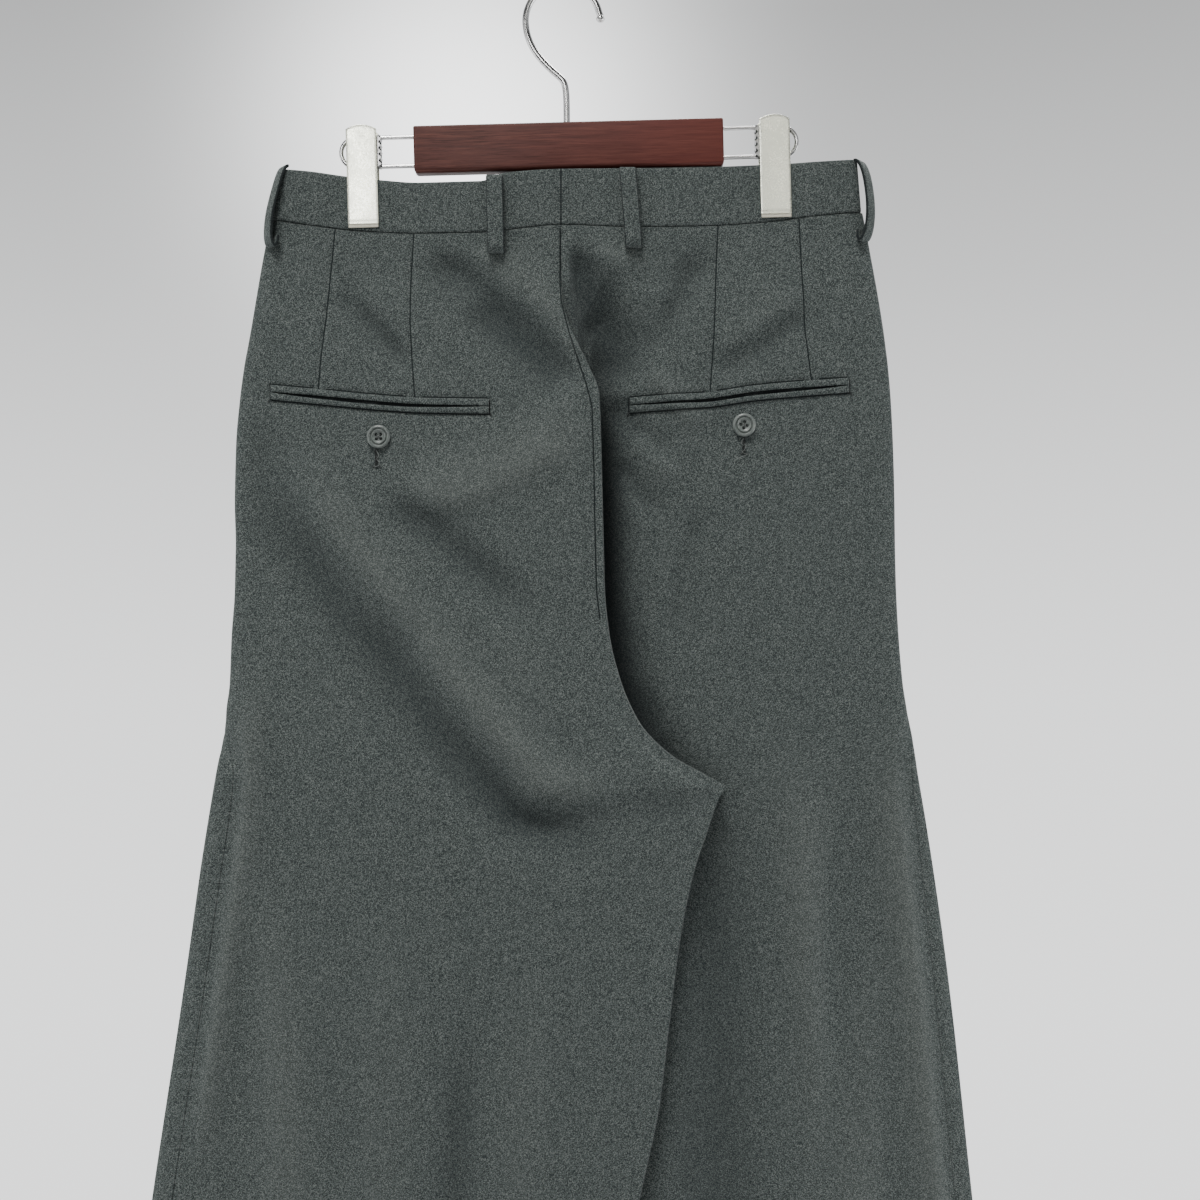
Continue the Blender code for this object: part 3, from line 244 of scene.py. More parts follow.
# Along the waistband: the depth of its seam and of its top, and how far it lies from the middle.
WAIST = Table(
    "x seam top gap",
    (-192, 157.2, 123.8, 5.6),
    (-172, 160.2, 125.3, 5.5),
    (-154, 162.6, 127, 2.3),
    (-147, 163.4, 127.8, 2.2),
    (-119, 165.3, 130.6, 2.2),
    (-95, 166.1, 132.5, 4.2),
    (-55, 166, 132.3, 7.4),
    (-38, 164.6, 127, 8.2),
    (0, 161.4, 124.6, 9),
    (42, 162.6, 124.1, 8.2),
    (92, 161.2, 122.3, 4.4),
    (127, 159, 120.5, 2.2),
    (155, 156, 119.2, 2.2),
    (161, 155.3, 118.9, 2.4),
    (179, 153.5, 118.2, 5.5),
    (202, 151.8, 117.2, 5.6),
)

# How far each pleat runs back under its folded edge; below 0 it opens out.
PLEATS = Table(
    "depth first second",
    (163, 12, 11),
    (205, 11.5, 10),
    (245, 9, 6.5),
    (285, 4.5, 1),
    (320, -1, -5),
    (360, -8, -12),
    (400, -12, -12),
)

# The large folds of the back, as the frame has them: a line from one end to the other, its half
# width, and how far the cloth goes in (+) or comes out (-).
DRAPE = (
    (-72, 186, 6, 256, 11, 4),
    (-193, 318, -107, 438, 17, 3),
    (-107, 438, -41, 537, 17, 3.2),
    (-96, 340, -6, 300, 14, -2.6),
    (-98, 356, -30, 418, 15, 2.6),
    (-24, 556, 70, 548, 13, 3.6),
    (-133, 203, -107, 227, 10, 1.6),
    (92, 182, 60, 232, 12, 2.4),
    (104, 253, 158, 226, 10, 1.8),
)

# The soft creases: how far in (+) or out (-), half width, and the places that each runs through.
CREASES = {
    "bl": (
        (3.2, 15, (-96, 172), (-40, 232), (8, 276)),
        (5, 14, (-62, 208), (-24, 248), (9, 277)),
        (-3, 12, (-66, 160), (-10, 218), (24, 266)),
        (3.4, 8, (-154, 201), (-126, 231), (-100, 257)),
        (-2, 7, (-140, 192), (-116, 216), (-94, 240)),
        (2, 6, (-136, 214), (-112, 244), (-98, 262)),
        (-5.6, 16, (-196, 300), (-119, 402), (-57, 480), (-12, 530), (60, 545)),
        (6.6, 15, (-214, 318), (-143, 423), (-81, 500), (-32, 556), (56, 580)),
        (-3.8, 11, (-104, 352), (-50, 338), (16, 304)),
        (4.2, 12, (-118, 342), (-70, 378), (-20, 420)),
        (-1.4, 18, (-60, 395), (-30, 440), (-10, 500)),
        (-4.6, 9, (-200, 440), (-208, 570), (-223, 670), (-240, 800)),
        (-3.6, 15, (-196, 560), (-180, 720), (-178, 900), (-184, 1150)),
        (-1.6, 15, (-112, 580), (-116, 800), (-124, 1150)),
        (5.6, 13, (-62, 660), (-72, 850), (-86, 1150)),
        (-2, 14, (-20, 620), (-28, 800), (-44, 1120)),
        (-0.8, 7, (44, 470), (62, 498), (96, 526)),
    ),
    "br": (
        (10, 16, (-6, 174), (18, 208), (33, 238), (36, 276)),
        (-2.6, 9, (8, 172), (36, 186), (60, 182)),
        (-1.8, 9, (70, 196), (62, 226), (74, 262)),
        (3.2, 8, (34, 276), (50, 298), (72, 318)),
        (-3, 8, (54, 256), (94, 300)),
        (-2.4, 7, (48, 300), (74, 334)),
        (3, 8, (34, 316), (52, 340), (70, 358)),
        (12, 16, (24, 244), (25, 300), (26, 360), (29, 410), (40, 468), (56, 506), (92, 546)),
        (3, 10, (96, 180), (74, 222), (60, 260)),
        (2.6, 8, (100, 265), (132, 246), (166, 222)),
        (-2, 8, (100, 248), (130, 230), (160, 208)),
        (6.4, 24, (98, 500), (102, 680), (108, 900), (116, 1150)),
        (2.6, 7, (92, 344), (80, 395), (70, 446)),
        (-4.8, 17, (150, 480), (172, 700), (194, 900), (206, 1150)),
        (-6, 14, (218, 470), (226, 570), (237, 670), (252, 806), (266, 980)),
        (-1.8, 10, (206, 600), (204, 812), (216, 1040)),
        (3.6, 12, (178, 540), (180, 800), (194, 1140)),
        (2.4, 12, (80, 720), (86, 900), (98, 1130)),
    ),
    "fl": (
        (0.9, 10, (-60, 330), (-95, 430), (-120, 520)),
        (-0.9, 12, (-85, 400), (-92, 700), (-100, 1100)),
        (0.8, 12, (-150, 520), (-165, 800), (-180, 1050)),
    ),
    "fr": (
        (0.9, 10, (60, 330), (92, 420), (118, 520)),
        (-0.9, 12, (85, 400), (92, 700), (102, 1100)),
        (0.8, 12, (160, 500), (172, 800), (188, 1050)),
    ),
}

# Seams that are sewn flat into a panel: the back darts, and the line beside the folded edge.
FLAT_SEAMS = {
    "bl": (
        ((-152, 163), (-154.4, 191), (-157.2, 224), (-160.2, 249), (-162, 274)),
        ((-99.3, 165), (-101, 195), (-101.2, 225), (-99.5, 252), (-97.2, 280)),
        ((-1.6, 163), (-1.5, 203), (-0.8, 214), (4.6, 236), (11, 254), (15.6, 268), (19.7, 284),
         (21, 326), (21.7, 365), (22.7, 405), (25, 425)),
    ),
    "br": (
        ((103.8, 160), (102.2, 198), (100.6, 236), (99.3, 255), (97.9, 274)),
        ((157.9, 155), (159.6, 195), (161.9, 236), (163.8, 252), (165.8, 267)),
    ),
    "fl": (),
    "fr": (),
}

TROUGH_PAINTED_SHADE = 0.050      # painted shade: how much darker the cloth is painted for each mm of a trough's depth
RIDGE_PAINTED_LIGHT = -0.028      # painted light: how much paler the cloth is painted for each mm of a ridge's height

# How wide and how dark the painted shade is in the deep tuck beside the folded edge.
LAP_SHADE = Table(
    "depth reach dark",
    (163, 8, 0),
    (194, 44, 0),
    (207, 50, 0.34),
    (222, 42, 0.46),
    (245, 34, 0.48),
    (270, 24, 0.52),
    (300, 20, 0.68),
    (360, 24, 0.78),
    (430, 22, 0.75),
    (480, 16, 0.55),
    (520, 10, 0.30),
    (540, 8, 0),
    (1164, 8, 0),
)

SECTION_DEPTHS = (
    PANEL_TOP, 188, 212, 234, 244, 255, 276, 308, 345, 375, 405, 435, 466, 486, 496, 506, 516, 525.5, CROTCH,
    541, 560, 590, 640, 696, 745, 785, 800, 812, 850, 960, HEM,
)
HIDDEN_SPANS = 6         # spans of the back right section up to the far end of its folded cloth
# How many steps the frame has in each span of a panel's section.
STEPS = {
    "bl": [2] * 7 + [1, 1],
    "br": [1, 1, 1, 1, 1, 2, 1, 2, 2, 2, 2, 2, 2],
    "fl": [2, 2] + [1] * 12 + [2, 2, 1, 1, 1, 1],
    "fr": [1, 1, 1, 1, 1, 2, 1, 1, 2] + [1] * 12 + [2, 2],
}
FINE_COLUMN = {"b": 2.6, "f": 3.4}     # between two columns of a back or front panel, about
# The fine rows: from one depth to another, and how far apart.
ROW_STEPS = ((PANEL_TOP, 560, 3.0), (560, 820, 4.0), (820, HEM, 8.0))


# ---------------------------------------------------------------- section curves
def places_along(steps):
    """Places along a section, so many in each span, with one more near each end."""
    spans = len(steps)
    where = [span + step / steps[span] for span in range(spans) for step in range(steps[span])]
    return np.array(where[:1] + [END_STEP] + where[1:] + [spans - END_STEP, spans])


def spline(points, where):
    """A clamped cubic B-spline near the control points, read at places counted in spans."""
    points = np.array(points, float)
    spans = len(points) - 3
    knots = np.concatenate(([0] * 3, np.arange(spans + 1), [spans] * 3)).astype(float)
    where = np.minimum(where, spans - 1e-9)
    basis = [(knots[i] <= where) & (where < knots[i + 1]) for i in range(len(knots) - 1)]
    basis = np.array(basis, float)
    for degree in (1, 2, 3):
        raised = []
        for i in range(len(basis) - 1):
            rise = knots[i + degree] - knots[i]
            fall = knots[i + degree + 1] - knots[i + 1]
            left = (where - knots[i]) / rise * basis[i] if rise else 0 * where
            right = (knots[i + degree + 1] - where) / fall * basis[i + 1] if fall else 0 * where
            raised.append(left + right)
        basis = np.array(raised)
    return basis.T @ points


def spread_evenly(points, where, spans, share):
    """Move the places within the first spans toward even distances along the curve."""
    fine = np.linspace(0, spans, 40 * spans + 1)
    line = spline(points, fine)
    run = np.concatenate(([0], np.cumsum(np.linalg.norm(np.diff(line, axis=0), axis=1))))
    count = int(np.sum(where <= spans))
    before = np.interp(where[1:count], fine, run)
    even = np.linspace(before[0], before[-1], count - 1)
    moved = where.copy()
    moved[1:count] = np.interp(mix(before, even, share), run, fine)
    return moved


def mix(a, b, share):
    """From a at share 0 to b at share 1."""
    return np.asarray(a) + (np.asarray(b) - np.asarray(a)) * share


def smooth(share):
    """An eased step from 0 to 1."""
    share = np.clip(share, 0.0, 1.0)
    return share * share * (3 - 2 * share)


def level(panel, x, depth):
    """How far toward -Y or +Y a panel lies at x, away from its seams."""
    outer = abs(OUTLINE.at(SIDES[panel[1]], depth))
    inner = -min(abs(EDGES.at(panel, depth)), 40.0) if panel[1] == "l" else 0.0
    share = min(max((abs(x) - inner) / (outer - 20 - inner), 0.0), 1.0)
    if x * OUTWARD[panel[1]] < 0:
        share = 0.0
    ends = [LEVELS.at(f"{panel}_{place}", depth) for place in ("in", "mid", "side")]
    free = mix(ends[0], ends[1], smooth(share * 2)) if share < 0.5 else mix(ends[1], ends[2], share * 2 - 1)
    pinched = -INWARD[panel[0]] * WAIST.at("gap", x)
    return mix(pinched, free, smooth((depth - PANEL_TOP) / 48))


def side_points(side, face, depth):
    """Three places where a panel meets its side seam, from the seam inward."""
    sign, name = OUTWARD[side], SIDES[side]
    edge = OUTLINE.at(name, depth) - sign * CLOTH / 2
    wrap = OUTLINE.at(f"wrap_{name}", depth)
    turned = smooth((depth - 472) / 60)
    back = LEVELS.at(f"b{side}_side", depth)
    front = LEVELS.at(f"f{side}_side", depth)
    seam = mix(np.array([edge, (back + front) / 2]), np.array([edge - sign * wrap, back]), turned)
    along = mix(np.array([0, -1.0]), np.array([-sign, 0]), turned)
    along /= np.linalg.norm(along)
    half = (front - back) / 2
    if face == "b":
        start = seam + along * SEAM_GAP / 2
        corner = seam + along * mix(half, 6, turned)
        beyond = [mix(edge, edge - sign * wrap, turned) - sign * 14, back]
    else:
        start = seam - along * SEAM_GAP / 2
        corner = seam - along * mix(half, wrap, turned)
        beyond = [edge - sign * 9 * (1 - turned), front]
    return [start, corner, beyond]


def pleat_points(side, depth):
    """Each pleat is a fold edge, a layer that runs back under it, and a layer that runs on."""
    sign = OUTWARD[side]
    points = []
    for name, edge in zip(("first", "second"), PLEAT_EDGE):
        under = PLEATS.at(name, depth)
        step = PLEAT_STEP * smooth((under + 12) / 16)
        loose = 1 - min(max(under / 8, 0.0), 1.0)
        opened = max(-under / 12, 0.0)
        back = edge - max(under, 0.0)
        places = ((edge - 7, 0), (edge - loose * 1.5 - opened * 0.5, 0),
                  (edge - loose * 0.5 + opened * 2.5, 1), (back + loose * 0.5 + opened * 9.5, 1),
                  (back + loose * 1.5 + opened * 12.5, 2), (edge + 9 + 11 * opened, 2))
        for x, layer in places:
            base = level("f" + side, sign * x, depth)
            points.append([sign * x, base - step * layer])
    return points


def seam_level(panel, depth):
    """The height in Y where a panel meets its neighbour at the inner seam."""
    face, side = panel
    mate = {"b": "f", "f": "b"}[face] + side if depth > CROTCH else face + {"l": "r", "r": "l"}[side]
    return (TIPS.at(panel, depth) + TIPS.at(mate, depth)) / 2


def panel_turn(panel, depth):
    """How far a panel's inner edge turns toward its neighbour's, from 0 to 1."""
    if depth > CROTCH and panel[1] == "l":
        return smooth((depth - CROTCH) / 11)
    if depth > CROTCH:
        return TIPS.at("turn_back", depth)
    return TIPS.at("turn_back" if panel[0] == "b" else "turn_front", depth)


def left_path(face, depth):
    """A left panel's section, from its side seam to its inner seam."""
    panel = face + "l"
    tip = EDGES.at(panel, depth)
    near = TIPS.at(panel, depth)
    turn = panel_turn(panel, depth)
    gap = SEAM_GAP / 2
    toward = 1 if seam_level(panel, depth) >= near else -1
    points = side_points("l", face, depth)
    if face == "b":
        start = points[-1][0] + 16
        stations = [mix(start, tip - 16, share) for share in (0, 0.25, 0.5, 0.75, 1)]
        points += [[x, level(panel, x, depth)] for x in stations]
    else:
        points += [[-150, level(panel, -150, depth)]]
        points += pleat_points("l", depth)[::-1]
        points += [[x, level(panel, x, depth)]
                   for x in (mix(-50, tip - 13, share) for share in (0.1, 0.55, 1))]
    end = mix(near, seam_level(panel, depth) - toward * gap, turn)
    points += [[tip - 8, near], [tip - 1 - 4 * (1 - turn), near],
               [tip - 2.5 * (1 - turn), near], [tip - gap * (1 - turn), end]]
    return points


def right_path(face, depth):
    """A right panel's section, from its inner seam, round its hidden fold, to its side seam."""
    panel = face + "r"
    tip = EDGES.at(panel, depth)
    under = EDGES.at("under_back" if face == "b" else "under_front", depth)
    near = TIPS.at(panel, depth)
    fin = TIPS.at("fin_back" if face == "b" else "fin_front", depth)
    main = level(panel, max(under, 0) + 6, depth)
    turn = panel_turn(panel, depth)
    gap = SEAM_GAP / 2
    toward = 1 if seam_level(panel, depth) > near else -1
    hidden = tip - under
    folded = min(max(hidden / 12, -1.0), 1.0)
    lead = min(max(hidden * 0.35, -8.0), 8.0)
    flat = min(max(-hidden / 12, 0.0), 1.0) if face == "b" else 0.0
    end = mix(near, seam_level(panel, depth) - toward * gap, turn)
    points = [
        [tip - gap * folded * (1 - turn), end],
        [tip - 3 * folded * (1 - turn), near],
        [tip - folded * (1 + 4 * (1 - turn)), near],
        [tip - lead, mix(near, fin, 0.5)],
        [(tip + under) / 2, fin],
        [under + lead * 0.75, fin],
        [under - 1 + folded - 6 * flat, fin],
        [under + 1 - folded + 5 * flat, main],
        [under + 7 + 10 * flat, main],
    ]
    side = side_points("r", face, depth)[::-1]
    if face == "b":
        stations = [mix(under + 22 + 10 * flat, side[0][0] - 16, share) for share in (0, 0.33, 0.67, 1)]
        points += [[x, level(panel, x, depth)] for x in stations]
    else:
        points += [[mix(under + 12, 50, 0.5), level(panel, 30, depth)]]
        points += pleat_points("r", depth)
        points += [[150, level(panel, 150, depth)]]
    return points + side


# ---------------------------------------------------------------- the drape of the cloth
def frame_folds(x, depth):
    """How far the large folds of the back move the cloth along Y."""
    moved = np.zeros_like(x)
    for x0, d0, x1, d1, width, amount in DRAPE:
        run = np.array([x1 - x0, d1 - d0], float)
        length = np.linalg.norm(run)
        run /= length
        along = (x - x0) * run[0] + (depth - d0) * run[1]
        across = -(x - x0) * run[1] + (depth - d0) * run[0]
        past = np.maximum(np.maximum(-along, along - length), 0) / (width * 1.4)
        moved += amount * np.exp(-(across / width) ** 2 - past ** 2)
    return moved


def frame_share(panel, x, depth):
    """The large folds fade out at a panel's seams."""
    name = SIDES[panel[1]]
    inner = abs(x - EDGES.at("bl", depth))
    outer = abs(OUTLINE.at(name, depth)) - OUTLINE.at(f"wrap_{name}", depth) - abs(x)
    return smooth(inner / 22) * smooth((outer - 2) / 16) * smooth((depth - PANEL_TOP) / 26)


def hang(x, depth):
    """The true depth of a place: the first sections follow the waistband's sagging seam."""
    share = 1 - smooth((depth - PANEL_TOP) / 110)
    return depth + (WAIST.at("seam", x) + BAND_GAP - PANEL_TOP) * share


def off_line(x, depth, line):
    """How far each place is across a line (signed), and how far along it, from 0 to 1."""
    line = np.array(line, float)
    lengths = np.linalg.norm(np.diff(line, axis=0), axis=1)
    whole = lengths.sum()
    across = np.full_like(x, 1e9)
    along = np.zeros_like(x)
    done = 0.0
    for (x0, d0), (x1, d1), length in zip(line[:-1], line[1:], lengths):
        ux, ud = (x1 - x0) / length, (d1 - d0) / length
        t = np.clip((x - x0) * ux + (depth - d0) * ud, 0, length)
        away = np.hypot(x - x0 - t * ux, depth - d0 - t * ud)
        side = np.sign((x - x0) * ud - (depth - d0) * ux)
        nearer = away < abs(across)
        across = np.where(nearer, away * np.where(side == 0, 1, side), across)
        along = np.where(nearer, (done + t) / whole, along)
        done += length
    return across, along


def crease_depth(panel, x, depth):
    """Soft troughs and ridges, deepest in the middle of their run."""
    moved = np.zeros_like(x)
    for amount, width, *line in CREASES[panel]:
        across, along = off_line(x, depth, line)
        fade = smooth(along / 0.22) * smooth((1 - along) / 0.22)
        moved += amount * fade * np.exp(-(across / width) ** 2)
    return moved


def fine_places(places, splits):
    """The frame's places along a section, each step split into several."""
    marks = np.arange(len(places))
    fine = np.concatenate([[i + s / n for s in range(n)] for i, n in enumerate(splits)] + [[marks[-1]]])
    return np.interp(fine, marks, places)


def panel_sections(panel):
    """The frame's sections with finer steps, and into how many pieces each step is split."""
    path = left_path if panel[1] == "l" else right_path
    sections = []
    places = []
    for depth in SECTION_DEPTHS:
        control = path(panel[0], depth)
        where = places_along(STEPS[panel])
        if panel == "br":
            hidden = EDGES.at("br", depth) - EDGES.at("under_back", depth)
            where = spread_evenly(control, where, HIDDEN_SPANS, 1 - min(abs(hidden) / 14, 1))
        sections.append(control)
        places.append(where)
    widest = np.max([np.linalg.norm(np.diff(spline(c, w), axis=0), axis=1)
                     for c, w in zip(sections, places)], axis=0)
    splits = np.clip(np.round(widest / FINE_COLUMN[panel[0]]), 1, 24).astype(int)
    return np.array([spline(c, fine_places(w, splits)) for c, w in zip(sections, places)]), splits


def panel_grid(panel):
    """Fine rows of places (mm) for one panel, on the frame's own sections, and how deep each fold is."""
    curves, splits = panel_sections(panel)
    depths = np.unique(np.concatenate([np.arange(*step) for step in ROW_STEPS] + [[CROTCH, HEM]]))
    keys = np.array(SECTION_DEPTHS, float)
    tip = int(np.where(keys == CROTCH)[0][0])
    above = depths <= CROTCH
    grid = np.concatenate([read_smoothly(keys[:tip + 1], curves[:tip + 1], depths[above]),
                           read_smoothly(keys[tip:], curves[tip:], depths[~above])])
    x, y = grid[:, :, 0], grid[:, :, 1]
    depth = np.repeat(depths[:, None], x.shape[1], axis=1)
    shown = np.ones_like(x)
    if panel == "br":
        first = int(splits[:9].sum())
        shown = smooth((x - EDGES.at("under_back", depth) - 3) / 10)
        shown[:, :first] = 0
        unfolded = smooth((250 - depth) / 20)
        shown = mix(shown, smooth((x - EDGES.at("br", depth) - 2) / 9), unfolded)
    fold = np.zeros_like(x)
    if panel[0] == "b":
        fold = frame_folds(x, depth) * frame_share(panel, x, depth) * shown
    free = smooth((depth - PANEL_TOP) / 20)
    edge = np.minimum(np.arange(x.shape[1]), np.arange(x.shape[1])[::-1]) * FINE_COLUMN[panel[0]]
    free = free * smooth(edge / 14)[None, :] * shown
    fold = fold + crease_depth(panel, x, depth) * free
    return x, y + INWARD[panel[0]] * fold, depth, fold


def pocket_outline(panel):
    """The seams round a back pocket's two welts."""
    if panel[0] == "f":
        return ()
    slit = POCKETS[SIDES[panel[1]]]
    high = WELT_HEIGHT + 0.8
    left, right = slit.key[0] - 0.5, slit.key[-1] + 0.5
    upper = [(x, slit.at("depth", x) - high) for x in np.linspace(left, right, 12)]
    lower = [(x, slit.at("depth", x) + high) for x in np.linspace(right, left, 12)]
    return (tuple(upper + lower + upper[:1]),)


def flat_seam_marks(panel, x, depth):
    """The distance across the nearest flat seam, and 1 where a place is close to one."""
    across = np.full_like(x, 8.0)
    near = np.zeros_like(x)
    for line in FLAT_SEAMS[panel] + pocket_outline(panel):
        away, along = off_line(x, depth, line)
        beyond = (along <= 0) | (along >= 1)
        close = np.where(beyond, 0, smooth((7 - abs(away)) / 3))
        take = close > near
        across = np.where(take, away, across)
        near = np.where(take, close, near)
    return np.clip(across, -8, 8), near


def slit_and_tuck_painted_shade(panel, x, depth):
    """Painted shade: 1 inside the back pocket's open slit and deep in the tuck, where shade falls, and 0 away
    from them.
    """
    if panel[0] == "f":
        return np.zeros_like(x)
    slit = POCKETS[SIDES[panel[1]]]
    away = abs(depth - slit.at("depth", x))
    inside = (x > slit.key[0] + 1) & (x < slit.key[-1] - 1)
    dark = np.where(inside, smooth((3.4 - away) / 1.4), 0.0)
    if panel == "br":
        beside = x - EDGES.at("bl", depth)
        reach = LAP_SHADE.at("reach", depth)
        lap = np.where(beside > -12, smooth((reach - beside) / reach), 0.0)
        dark = np.maximum(dark, lap * LAP_SHADE.at("dark", depth))
    return dark


# ---------------------------------------------------------------- meshes
def new_piece(name, vertices, faces, finish, lines=()):
    mesh = bpy.data.meshes.new(name)
    mesh.from_pydata([tuple(v) for v in vertices], lines, faces)
    mesh.materials.append(finish)
    piece = bpy.data.objects.new(name, mesh)
    bpy.context.scene.collection.objects.link(piece)
    return piece


def deselect():
    for item in bpy.context.selected_objects:
        item.select_set(False)


def only(piece):
    deselect()
    piece.select_set(True)
    bpy.context.view_layer.objects.active = piece


def edit(piece):
    """Open a piece for editing, all of it picked."""
    only(piece)
    bpy.ops.object.mode_set(mode="EDIT")
    bpy.ops.mesh.select_all(action="SELECT")
    return bpy.ops.mesh


def done():
    bpy.ops.object.mode_set(mode="OBJECT")


def finish_with(piece, name, kind, **settings):
    """Put a modifier on a piece and apply it."""
    modifier = piece.modifiers.new(name, kind)
    for key, value in settings.items():
        setattr(modifier, key, value)
    only(piece)
    bpy.ops.object.modifier_apply(modifier=modifier.name)


def soften(piece, width, segments, degrees=None):
    """Round a piece's edges: all of them, or those that turn by more than so many degrees."""
    limit = {"limit_method": "ANGLE", "angle_limit": math.radians(degrees)} if degrees else {}
    finish_with(piece, "soft_edges", "BEVEL", width=width, segments=segments, **limit)


def smooth_shading(piece, degrees):
    only(piece)
    bpy.ops.object.shade_smooth_by_angle(angle=math.radians(degrees))


def cloth_wall(node, grid, half, finish, weave=None, marks=None):
    """A closed wall round a grid of places in mm, half its thickness to each side, for a cloth node."""
    grid = np.asarray(grid, float)
    rows, wide = grid.shape[:2]
    along = np.gradient(grid, axis=1)
    down = np.gradient(grid, axis=0)
    away = np.cross(along, down)
    away /= np.maximum(np.linalg.norm(away, axis=2, keepdims=True), 1e-9)
    half = np.broadcast_to(half, (rows, wide))[:, :, None]
    outer = (grid + away * half).reshape(-1, 3) * MM
    inner = (grid - away * half).reshape(-1, 3) * MM
    count = rows * wide
    r, c = np.meshgrid(np.arange(rows - 1), np.arange(wide - 1), indexing="ij")
    a = (r * wide + c).ravel()
    quads = np.column_stack((a, a + 1, a + wide + 1, a + wide))
    faces = [tuple(q) for q in quads[:, ::-1].tolist()]
    faces += [tuple(q) for q in (quads + count).tolist()]
    last = (rows - 1) * wide
    rim = list(range(wide)) + [k * wide + wide - 1 for k in range(1, rows)]
    rim += list(range(last + wide - 2, last - 1, -1)) + [k * wide for k in range(rows - 2, 0, -1)]
    for b, e in zip(rim, rim[1:] + rim[:1]):
        faces.append((b, e, count + e, count + b))
    piece = new_piece(f"{node}_cloth", np.vstack((outer, inner)), faces, finish)
    mesh = piece.data
    if weave is None:
        u = np.cumsum(np.linalg.norm(np.diff(grid, axis=1, prepend=grid[:, :1]), axis=2), axis=1)
        v = np.cumsum(np.linalg.norm(np.diff(grid, axis=0, prepend=grid[:1]), axis=2), axis=0)
        weave = np.dstack((u, v))
    weave = np.tile(np.asarray(weave).reshape(-1, 2) * MM, (2, 1))
    layer = mesh.uv_layers.new(name="weave")
    corner = np.zeros(len(mesh.loops), int)
    mesh.loops.foreach_get("vertex_index", corner)
    layer.data.foreach_set("uv", weave[corner].ravel())
    for mark, values in (marks or {}).items():
        attribute = mesh.attributes.new(mark, "FLOAT", "POINT")
        attribute.data.foreach_set("value", np.tile(np.asarray(values).ravel(), 2))
    edit(piece).normals_make_consistent(inside=False)
    done()
    smooth_shading(piece, 50)
    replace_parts(piece, node)
    return piece


def tree_of(*pieces):
    """The pieces' surfaces, to lay other pieces on."""
    vertices = []
    faces = []
    for piece in pieces:
        first = len(vertices)
        vertices += [v.co.copy() for v in piece.data.vertices]
        faces += [tuple(first + i for i in face.vertices) for face in piece.data.polygons]
    return BVHTree.FromPolygons(vertices, faces)


def lay(tree, x, depth, out, facing=-1):
    """The place (mm) on a surface at x and depth, seen from the back (-1) or front (+1), moved out."""
    start = Vector((x * MM, facing * 0.2, -depth * MM))
    hit = tree.ray_cast(start, Vector((0, -facing, 0)))[0]
    return (x, hit.y / MM + facing * out, -depth)


def tubes(name, routes, radius, finish, sides=4, radii=None):
    """Round wires or threads along routes in mm, bevelled and made into one mesh."""
    curve = bpy.data.curves.new(name, "CURVE")
    curve.dimensions = "3D"
    curve.bevel_depth = radius * MM
    curve.bevel_resolution = sides
    curve.use_fill_caps = True
    for route in routes:
        run = curve.splines.new("POLY")
        run.points.add(len(route) - 1)
        for i, (point, place) in enumerate(zip(run.points, route)):
            point.co = (*(size * MM for size in place), 1)
            point.radius = radii[i] if radii else 1.0
    piece = bpy.data.objects.new(name, curve)
    bpy.context.scene.collection.objects.link(piece)
    only(piece)
    bpy.ops.object.convert(target="MESH")
    piece = bpy.context.object
    piece.data.materials.clear()
    piece.data.materials.append(finish)
    smooth_shading(piece, 60)
    return piece


def tube(name, route, radius, finish, sides=6, radii=None):
    return tubes(name, [route], radius, finish, sides, radii)


